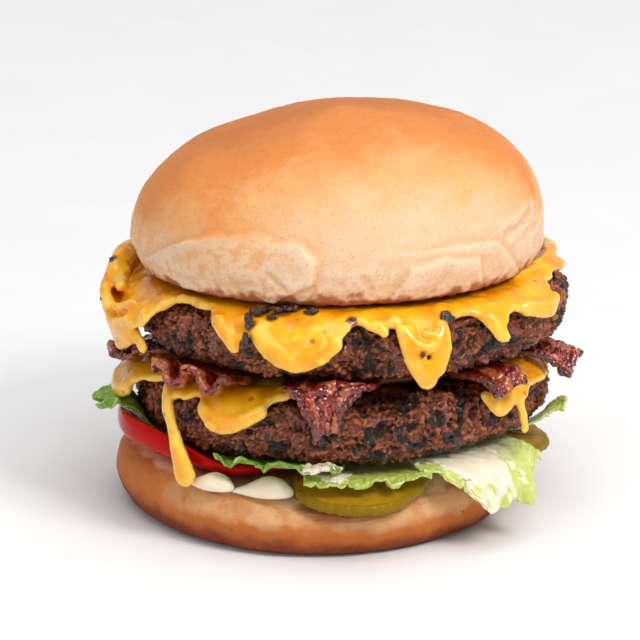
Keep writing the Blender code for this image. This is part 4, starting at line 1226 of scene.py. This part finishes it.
def dress(tree, shader, colour, height, strength, distance, specular=0.5):
    """Colour, gloss and fine relief from a height."""
    tree.links.new(colour, shader.inputs["Base Color"])
    shader.inputs["Specular IOR Level"].default_value = specular
    made = add_node(tree, "ShaderNodeBump", {"Strength": strength, "Distance": distance})
    tree.links.new(height, made.inputs["Height"])
    tree.links.new(made.outputs["Normal"], shader.inputs["Normal"])


def soft(shader, weight, radius, scale, roughness=None, coat=0.0, coat_roughness=0.1):
    """Light passing under the surface, and gloss."""
    shader.inputs["Subsurface Weight"].default_value = weight
    shader.inputs["Subsurface Radius"].default_value = radius
    shader.inputs["Subsurface Scale"].default_value = scale
    if roughness is not None:
        shader.inputs["Roughness"].default_value = roughness
    shader.inputs["Coat Weight"].default_value = coat
    shader.inputs["Coat Roughness"].default_value = coat_roughness


def crust_material(colours):
    """Baked bun skin: toasted on top, pale at the rim, with painted shade in its folds and a painted
    highlight on their crests.
    """
    material, tree, shader = new_material("bun crust")
    spots = speckle(tree, 75.0, 1300.0)
    drift = ramp(tree, spots.outputs["Mottle"], 0.3, 0.7, -0.12, 0.12)
    bake = combine(tree, "ADD", mark(tree, "bake"), drift)
    base = layer(tree, colours.crust_pale, colours.crust_warm, bake, 0.05, 0.65)
    base = layer(tree, base, colours.crust, bake, 0.50, 1.20)
    toasted = layer(tree, base, colours.crust_dark, bake, 1.1, 2.0, 0.55)
    # Painted shade: the hollows of the folds are darkened towards the baked brown.
    folded = layer(tree, toasted, colours.crust, "fold", 0.25, 1.0, 0.22)
    # Painted highlight: raised crests of the folds are paled towards a light cream.
    crested = layer(tree, folded, colours.crust_flour, "crest", 0.25, 1.0, 0.6)
    grained = layer(tree, crested, colours.crust_dark, spots.outputs["Fine"], 0.5, 0.72, 0.3)
    specked = layer(tree, grained, colours.crust, "speck", 0.2, 1.0, 0.4)
    rim = layer(tree, specked, colours.crust_rim, "rim", 0.1, 1.0, 0.9)
    soft(shader, 0.1, (1.0, 0.45, 0.2), 0.003, 0.55)
    dress(tree, shader, rim, spots.outputs["Fine"], 0.5, 0.0005, 0.3)
    return material


def heel_material(colours):
    """Bottom bun: baked side with painted shade on its left, and pale crumb."""
    material, tree, shader = new_material("bun side")
    spots = speckle(tree, 110.0, 1000.0)
    drift = ramp(tree, spots.outputs["Mottle"], 0.3, 0.7, -0.15, 0.15)
    # The rise mark also carries painted shade on the bun's left side.
    rise = combine(tree, "ADD", mark(tree, "rise"), drift)
    side = layer(tree, colours.heel_dark, colours.heel, rise, 0.0, 0.7)
    side = layer(tree, side, colours.heel_pale, rise, 0.7, 1.15)
    mottled = layer(tree, side, colours.heel_dark, spots.outputs["Mottle"], 0.52, 0.75, 0.3)
    cracked = layer(tree, mottled, colours.heel_dark, "split", 0.1, 0.9, 0.7)
    both = mix_colours(tree, mark(tree, "crumb"), cracked, colours.crumb)
    both = layer(tree, both, colours.crust_dark, "toast", 0.2, 0.9, 0.8)
    soft(shader, 0.1, (1.0, 0.5, 0.25), 0.003, 0.62)
    dress(tree, shader, both, spots.outputs["Fine"], 0.3, 0.0004, 0.25)
    return material


def meat_material(colours):
    """Seared ground beef: brown, with painted shade in its creases and a painted highlight on raised crumbs,
    charred in places, moist.
    """
    material, tree, shader = new_material("seared beef")
    spots = speckle(tree, 330.0, 1900.0)
    tone = layer(tree, colours.meat, colours.meat_red, spots.outputs["Mottle"], 0.36, 0.64)
    grain = ramp(tree, mark(tree, "grain"), 0.2, 0.9, 0.25, 1.0)
    # Painted highlight: raised crumbs, varied at random per grain, are lightened towards a pale brown.
    light = combine(tree, "MULTIPLY", mark(tree, "ridge"), grain)
    tone = layer(tree, tone, colours.meat_light, light, 0.05, 0.8, 0.85)
    drift = ramp(tree, spots.outputs["Mottle"], 0.35, 0.65, -0.3, 0.3)
    char = combine(tree, "ADD", mark(tree, "char"), drift)
    charred = layer(tree, tone, colours.meat_dark, char, 0.4, 0.85, 0.95)
    # Painted shade: hollows of the crust are darkened towards near-black.
    creased = layer(tree, charred, colours.meat_dark, "crease", 0.05, 0.8, 0.94)
    tree.links.new(ramp(tree, spots.outputs["Mottle"], 0.4, 0.62, 0.18, 0.5), shader.inputs["Roughness"])
    soft(shader, 0.03, (1.0, 0.3, 0.15), 0.002, None, 0.0, 0.12)
    tree.links.new(ramp(tree, spots.outputs["Mottle"], 0.5, 0.6, 0.0, 0.8), shader.inputs["Coat Weight"])
    dress(tree, shader, creased, spots.outputs["Fine"], 0.75, 0.0007, 0.32)
    return material


def cheese_material(colours):
    """Melted cheese: warm yellow-orange, glossy, with some light passing under its surface, painted light on
    its crests, and painted shade in its folds, near the patty's top edge and between the patties.
    """
    material, tree, shader = new_material("melted cheese")
    spots = speckle(tree, 130.0, 800.0)
    tone = layer(tree, colours.cheese, colours.cheese_deep, spots.outputs["Mottle"], 0.34, 0.66)
    # Painted shade: hollows of the cheese are darkened towards the deep orange.
    folded = layer(tree, tone, colours.cheese_deep, "fold", 0.1, 1.0, 0.7)
    # Painted light: convex crests are paled towards yellow, as if lit through.
    pale = layer(tree, folded, colours.cheese_pale, "thin", 0.25, 1.0, 0.55)
    # Juice stain and painted shade near the patty's top edge.
    stained = layer(tree, pale, colours.cheese_stain, "stain", 0.1, 1.0, 0.5)
    # Browned around the scraps, and painted shade between the patties.
    stained = layer(tree, stained, colours.cheese_burnt, "burn", 0.2, 0.9, 0.9)
    burnt = ramp(tree, spots.outputs["Cells"], 0.13, 0.05, 0.0, 0.6)
    browned = mix_colours(tree, burnt, stained, colours.cheese_burnt)
    soft(shader, 0.22, (1.0, 0.5, 0.08), 0.003, 0.17, 0.3, 0.04)
    dress(tree, shader, browned, spots.outputs["Fine"], 0.10, 0.0005, 0.35)
    return material


def bacon_material(colours):
    """Fried bacon: dark lean and amber fat, greasy."""
    material, tree, shader = new_material("fried bacon")
    spots = speckle(tree, 300.0, 1300.0)
    lean = layer(tree, colours.bacon, colours.bacon_dark, spots.outputs["Mottle"], 0.35, 0.66)
    fat = ramp(tree, mark(tree, "fat"), 0.15, 0.9, 0.0, 0.8)
    both = mix_colours(tree, fat, lean, colours.bacon_fat)
    crisp = layer(tree, both, colours.bacon_dark, "crisp", 0.1, 1.0, 0.75)
    soft(shader, 0.08, (1.0, 0.25, 0.1), 0.002, 0.14, 0.8, 0.04)
    dress(tree, shader, crisp, spots.outputs["Mottle"], 0.3, 0.0006)
    return material


def scrap_material(colours):
    """Charred scraps: nearly black, glossy, reddish where they stand out."""
    material, tree, shader = new_material("charred scraps")
    spots = speckle(tree, 500.0, 2000.0)
    tone = layer(tree, colours.scrap, colours.bacon, "edge", 0.6, 1.0, 0.35)
    tone = layer(tree, tone, colours.scrap, spots.outputs["Mottle"], 0.45, 0.65, 0.8)
    soft(shader, 0.0, (1.0, 0.2, 0.1), 0.001, 0.3, 0.4, 0.1)
    dress(tree, shader, tone, spots.outputs["Fine"], 0.5, 0.0004)
    return material


def leaf_material(colours, name, green, pale_green):
    """Lettuce: green blade, paler veins and base, slightly waxy."""
    material, tree, shader = new_material(name)
    spots = speckle(tree, 170.0, 1400.0)
    blade = layer(tree, green, pale_green, "pale", 0.1, 0.9)
    mottled = layer(tree, blade, colours.leaf_dark, spots.outputs["Mottle"], 0.5, 0.75, 0.4)
    veined = layer(tree, mottled, colours.leaf_vein, "vein", 0.1, 1.0, 0.6)
    coated = layer(tree, veined, colours.sauce, "coat", 0.2, 0.8)
    soft(shader, 0.2, (0.6, 1.0, 0.2), 0.002, 0.3, 0.25, 0.15)
    dress(tree, shader, coated, spots.outputs["Fine"], 0.25, 0.0004)
    return material


def slice_material(name, flesh, pocket, skin, gloss):
    """Wet cut slice with seed pockets and a skin of another tone."""
    material, tree, shader = new_material(name)
    spots = speckle(tree, 240.0, 900.0)
    tone = layer(tree, flesh, pocket, spots.outputs["Mottle"], 0.4, 0.7, 0.5)
    tone = layer(tree, tone, pocket, "pocket", 0.1, 0.9, 0.7)
    both = layer(tree, tone, skin, "skin", 0.2, 0.9)
    soft(shader, 0.06, (1.0, 0.3, 0.1), 0.002, gloss)
    dress(tree, shader, both, spots.outputs["Mottle"], 0.15, 0.0005, 0.1)
    return material


def sauce_material(colours):
    """Thick creamy sauce."""
    material, tree, shader = new_material("cream sauce")
    spots = speckle(tree, 180.0, 800.0)
    tone = layer(tree, colours.sauce, colours.sauce_warm, "warm", 0.3, 1.0, 0.7)
    tone = layer(tree, tone, colours.sauce_warm, spots.outputs["Mottle"], 0.5, 0.75, 0.5)
    soft(shader, 0.3, (1.0, 0.8, 0.6), 0.003, 0.26, 0.4, 0.08)
    dress(tree, shader, tone, spots.outputs["Mottle"], 0.12, 0.0005)
    return material


def floor_material():
    """Plain pale floor."""
    material, tree, shader = new_material("pale floor")
    spots = speckle(tree, 30.0, 300.0)
    tone = layer(tree, (0.86, 0.86, 0.865), (0.84, 0.84, 0.845), spots.outputs["Mottle"], 0.3, 0.7)
    tree.links.new(tone, shader.inputs["Base Color"])
    shader.inputs["Roughness"].default_value = 0.7
    return material


# Settings, operators and panel

def length_setting(name, description, default):
    """Length that a user can change."""
    return FloatProperty(
        name=name, description=description, default=default, min=0.0, unit="LENGTH", subtype="DISTANCE"
    )


def share_setting(name, description, default):
    """Factor that a user can change."""
    return FloatProperty(
        name=name, description=description, default=default, min=0.0, max=3.0, subtype="FACTOR"
    )


def colour_setting(name, description, default):
    """Colour that a user can change."""
    return FloatVectorProperty(
        name=name, description=description, default=default, size=3, min=0.0, max=1.0, subtype="COLOR"
    )


class BurgerSizes(bpy.types.PropertyGroup):
    meat_relief: length_setting("Meat relief", "Depth of the creases in the patties' crust", 1.15 * MM)
    crust_relief: share_setting("Crust relief", "Unevenness of the buns' skin", 1.0)
    cheese_ripple: share_setting("Cheese ripple", "Unevenness of the melted cheese", 1.0)
    bacon_ripple: share_setting("Bacon ripple", "How far the bacon buckles", 1.0)
    leaf_frill: share_setting("Leaf frill", "How far the leaves' edges wave", 1.0)


class BurgerColours(bpy.types.PropertyGroup):
    crust: colour_setting("Crust", "Baked top of the buns", (0.74, 0.25, 0.055))
    crust_warm: colour_setting("Warm crust", "Lightly baked skin", (0.80, 0.40, 0.155))
    crust_pale: colour_setting("Pale crust", "Least baked skin near the rim", (0.76, 0.50, 0.30))
    # Painted highlight on the raised crests of the folds.
    crust_flour: colour_setting("Highlighted crust", "Raised edges of the folds", (0.80, 0.60, 0.42))
    crust_dark: colour_setting("Dark crust", "Most baked skin", (0.42, 0.115, 0.03))
    crust_rim: colour_setting("Crust rim", "Toasted rim of the top bun", (0.36, 0.075, 0.016))
    heel: colour_setting("Bottom bun", "Baked side of the bottom bun", (0.52, 0.145, 0.022))
    heel_pale: colour_setting("Pale bottom bun", "Upper side of the bottom bun", (0.74, 0.43, 0.20))
    heel_dark: colour_setting("Dark bottom bun", "Foot of the bottom bun", (0.20, 0.030, 0.004))
    crumb: colour_setting("Crumb", "Inside of the buns", (0.82, 0.60, 0.36))
    meat: colour_setting("Meat", "Seared beef", (0.17, 0.044, 0.014))
    meat_red: colour_setting("Red meat", "Less seared, redder beef", (0.26, 0.048, 0.02))
    # Painted highlight on raised crumbs of the crust.
    meat_light: colour_setting("Light meat", "Raised crumbs of the crust", (0.50, 0.155, 0.055))
    # Char, and painted shade in the creases of the crust.
    meat_dark: colour_setting("Dark meat", "Creases and char", (0.008, 0.005, 0.004))
    cheese: colour_setting("Cheese", "Melted cheese", (0.96, 0.48, 0.008))
    # Random deeper tone, and painted shade in the cheese's folds.
    cheese_deep: colour_setting("Deep cheese", "Thicker cheese", (0.88, 0.33, 0.003))
    # Painted light on the cheese's convex crests, as if lit through.
    cheese_pale: colour_setting("Pale cheese", "Thin melted edges", (0.98, 0.66, 0.12))
    # Juice stain, and painted shade near the patty's top edge.
    cheese_stain: colour_setting("Stained cheese", "Cheese mixed with juices", (0.60, 0.15, 0.002))
    # Browned specks and scrap edges, and painted shade between the patties.
    cheese_burnt: colour_setting("Burnt cheese", "Browned specks", (0.20, 0.045, 0.004))
    bacon: colour_setting("Bacon", "Lean of the bacon", (0.32, 0.014, 0.008))
    bacon_dark: colour_setting("Dark bacon", "Crisp lean", (0.08, 0.006, 0.004))
    bacon_fat: colour_setting("Bacon fat", "Fat of the bacon", (0.52, 0.13, 0.035))
    leaf: colour_setting("Leaf", "Green blade", (0.17, 0.34, 0.012))
    leaf_pale: colour_setting("Pale leaf", "Blade near the rib", (0.48, 0.56, 0.09))
    leaf_light: colour_setting("Light leaf", "Blade of the pale leaf", (0.58, 0.64, 0.16))
    leaf_yellow: colour_setting("Yellow leaf", "Yellow frilled edge", (0.66, 0.66, 0.12))
    leaf_white: colour_setting("White leaf", "Pale inner leaf", (0.80, 0.82, 0.56))
    leaf_dark: colour_setting("Dark leaf", "Shaded blade", (0.10, 0.24, 0.01))
    leaf_vein: colour_setting("Vein", "Veins of the leaves", (0.70, 0.78, 0.36))
    tomato: colour_setting("Tomato", "Tomato flesh", (0.50, 0.010, 0.004))
    tomato_seed: colour_setting("Tomato pockets", "Seed pockets of the tomato", (0.52, 0.05, 0.006))
    tomato_skin: colour_setting("Tomato skin", "Tomato skin", (0.46, 0.004, 0.002))
    pickle: colour_setting("Pickle", "Pickle flesh", (0.38, 0.20, 0.006))
    pickle_seed: colour_setting("Pickle pockets", "Seed pockets of the pickle", (0.46, 0.28, 0.02))
    pickle_skin: colour_setting("Pickle skin", "Pickle skin", (0.24, 0.14, 0.004))
    sauce: colour_setting("Sauce", "Cream sauce", (0.88, 0.78, 0.60))
    sauce_warm: colour_setting("Warm sauce", "Sauce mixed with juices", (0.84, 0.62, 0.40))
    scrap: colour_setting("Charred scraps", "Charred onion and bacon", (0.012, 0.006, 0.004))


class BURGER_OT_bottom_bun(bpy.types.Operator):
    """Make the bottom bun"""

    bl_idname = "burger.bottom_bun"
    bl_label = "Bottom Bun"

    def execute(self, context):
        settings = context.scene
        build_heel(settings.burger_sizes, heel_material(settings.burger_colours))
        return {"FINISHED"}


class BURGER_OT_top_bun(bpy.types.Operator):
    """Make the top bun"""

    bl_idname = "burger.top_bun"
    bl_label = "Top Bun"

    def execute(self, context):
        settings = context.scene
        build_crown(settings.burger_sizes, crust_material(settings.burger_colours))
        return {"FINISHED"}


class BURGER_OT_patties(bpy.types.Operator):
    """Make both patties"""

    bl_idname = "burger.patties"
    bl_label = "Patties"

    def execute(self, context):
        settings = context.scene
        material = meat_material(settings.burger_colours)
        build_patty(LOWER, "patty_lower", settings.burger_sizes, material)
        build_patty(UPPER, "patty_upper", settings.burger_sizes, material)
        return {"FINISHED"}


class BURGER_OT_cheese(bpy.types.Operator):
    """Make both melted slices of cheese"""

    bl_idname = "burger.cheese"
    bl_label = "Cheese"

    def execute(self, context):
        settings = context.scene
        sizes = settings.burger_sizes
        material = cheese_material(settings.burger_colours)
        build_cheese(LOWER, "cheese_lower", LOWER_HEM, LOWER_RUNS, (), sizes, material)
        build_cheese(UPPER, "cheese_upper", UPPER_HEM, UPPER_RUNS, UPPER_CREASES, sizes, material)
        return {"FINISHED"}


class BURGER_OT_scraps(bpy.types.Operator):
    """Make the charred scraps on the cheese"""

    bl_idname = "burger.scraps"
    bl_label = "Scraps"

    def execute(self, context):
        build_scraps(scrap_material(context.scene.burger_colours))
        return {"FINISHED"}


class BURGER_OT_bacon(bpy.types.Operator):
    """Make the strips of bacon"""

    bl_idname = "burger.bacon"
    bl_label = "Bacon"

    def execute(self, context):
        settings = context.scene
        material = bacon_material(settings.burger_colours)
        for name, strip in BACON.items():
            build_bacon(name, strip, settings.burger_sizes, material)
        return {"FINISHED"}


class BURGER_OT_lettuce(bpy.types.Operator):
    """Make the lettuce leaves"""

    bl_idname = "burger.lettuce"
    bl_label = "Lettuce"

    def execute(self, context):
        settings = context.scene
        colours = settings.burger_colours
        green = leaf_material(colours, "green leaf", colours.leaf, colours.leaf_pale)
        pale = leaf_material(colours, "pale leaf", colours.leaf_light, colours.leaf_white)
        yellow = leaf_material(colours, "yellow leaf", colours.leaf_pale, colours.leaf_yellow)
        materials = {"lettuce_right": pale, "lettuce_front": yellow}
        for name, strip in LETTUCE.items():
            build_leaf(name, strip, settings.burger_sizes, materials.get(name, green), [name])
        build_leaf("lettuce_scrap", LEAF_SCRAP, settings.burger_sizes, pale, [])
        return {"FINISHED"}


class BURGER_OT_tomato(bpy.types.Operator):
    """Make the tomato slice"""

    bl_idname = "burger.tomato"
    bl_label = "Tomato"

    def execute(self, context):
        colours = context.scene.burger_colours
        tones = (colours.tomato, colours.tomato_seed, colours.tomato_skin)
        material = slice_material("tomato", *tones, 0.16)
        for name, piece in TOMATO.items():
            build_slice(name, piece, material, 1.0)
        return {"FINISHED"}


class BURGER_OT_pickles(bpy.types.Operator):
    """Make the pickle slices"""

    bl_idname = "burger.pickles"
    bl_label = "Pickles"

    def execute(self, context):
        colours = context.scene.burger_colours
        tones = (colours.pickle, colours.pickle_seed, colours.pickle_skin)
        material = slice_material("pickle", *tones, 0.2)
        for name, piece in PICKLES.items():
            build_slice(name, piece, material, 0.5)
        return {"FINISHED"}


class BURGER_OT_sauce(bpy.types.Operator):
    """Make the dollops of sauce"""

    bl_idname = "burger.sauce"
    bl_label = "Sauce"

    def execute(self, context):
        material = sauce_material(context.scene.burger_colours)
        for name, dollop in SAUCE.items():
            build_dollop(name, dollop, material)
        return {"FINISHED"}


def add_light(name, energy, place, tone):
    """Soft square light that looks at the burger."""
    data = bpy.data.lights.new(name, "AREA")
    data.energy = energy
    data.size = LIGHT_SIZE
    data.color = tone
    light = bpy.data.objects.new(name, data)
    light.location = place
    light.rotation_euler = (LIGHT_TARGET - Vector(place)).to_track_quat("-Z", "Y").to_euler()
    bpy.context.scene.collection.objects.link(light)


class BURGER_OT_stage(bpy.types.Operator):
    """Make the floor, the lights and the camera"""

    bl_idname = "burger.stage"
    bl_label = "Stage"

    def execute(self, context):
        scene = context.scene
        bm = bmesh.new()
        bmesh.ops.create_grid(bm, x_segments=2, y_segments=2, size=3.0)
        mesh = bpy.data.meshes.new("floor")
        bm.to_mesh(mesh)
        bm.free()
        mesh.materials.append(floor_material())
        floor = bpy.data.objects.new("floor", mesh)
        scene.collection.objects.link(floor)
        world = bpy.data.worlds.new("studio")
        world.use_nodes = True
        background = world.node_tree.nodes["Background"]
        background.inputs["Color"].default_value = (1.0, 1.0, 1.0, 1.0)
        background.inputs["Strength"].default_value = WORLD_STRENGTH
        scene.world = world
        for name, (energy, place, tone) in LIGHTS.items():
            add_light(name, energy, place, tone)
        sun = bpy.data.lights.new("sky", "SUN")
        sun.energy = SKY_ENERGY
        sun.angle = SKY_ANGLE
        above = bpy.data.objects.new("sky", sun)
        above.rotation_euler = SKY_DIRECTION.to_track_quat("Z", "Y").to_euler()
        scene.collection.objects.link(above)
        scene.view_settings.view_transform = "Standard"
        back = Vector((0.0, -math.cos(CAMERA_ELEVATION), math.sin(CAMERA_ELEVATION)))
        data = bpy.data.cameras.new("camera")
        data.lens = CAMERA_LENS
        data.clip_start = 0.01
        camera = bpy.data.objects.new("camera", data)
        camera.location = CAMERA_TARGET + back * CAMERA_DISTANCE
        camera.rotation_euler = (-back).to_track_quat("-Z", "Y").to_euler()
        scene.collection.objects.link(camera)
        scene.camera = camera
        return {"FINISHED"}


class BURGER_PT_panel(bpy.types.Panel):
    """List of the burger's pieces"""

    bl_idname = "BURGER_PT_panel"
    bl_label = "Double Cheeseburger"
    bl_space_type = "VIEW_3D"
    bl_region_type = "UI"
    bl_category = "Burger"

    def draw(self, context):
        layout = self.layout
        for operator in OPERATORS:
            layout.operator(operator.bl_idname)
        for group in (context.scene.burger_sizes, context.scene.burger_colours):
            for key in group.bl_rna.properties.keys():
                if key not in ("rna_type", "name"):
                    layout.prop(group, key)


OPERATORS = (
    BURGER_OT_bottom_bun,
    BURGER_OT_sauce,
    BURGER_OT_tomato,
    BURGER_OT_pickles,
    BURGER_OT_lettuce,
    BURGER_OT_patties,
    BURGER_OT_cheese,
    BURGER_OT_scraps,
    BURGER_OT_bacon,
    BURGER_OT_top_bun,
    BURGER_OT_stage,
)
CLASSES = (BurgerSizes, BurgerColours, *OPERATORS, BURGER_PT_panel)


def register():
    for item in CLASSES:
        bpy.utils.register_class(item)
    bpy.types.Scene.burger_sizes = PointerProperty(type=BurgerSizes)
    bpy.types.Scene.burger_colours = PointerProperty(type=BurgerColours)


def unregister():
    del bpy.types.Scene.burger_colours
    del bpy.types.Scene.burger_sizes
    for item in reversed(CLASSES):
        bpy.utils.unregister_class(item)


def main():
    register()
    bpy.ops.burger.bottom_bun()
    bpy.ops.burger.sauce()
    bpy.ops.burger.tomato()
    bpy.ops.burger.pickles()
    bpy.ops.burger.lettuce()
    bpy.ops.burger.patties()
    bpy.ops.burger.cheese()
    bpy.ops.burger.scraps()
    bpy.ops.burger.bacon()
    bpy.ops.burger.top_bun()
    bpy.ops.burger.stage()


if __name__ == "__main__":
    main()
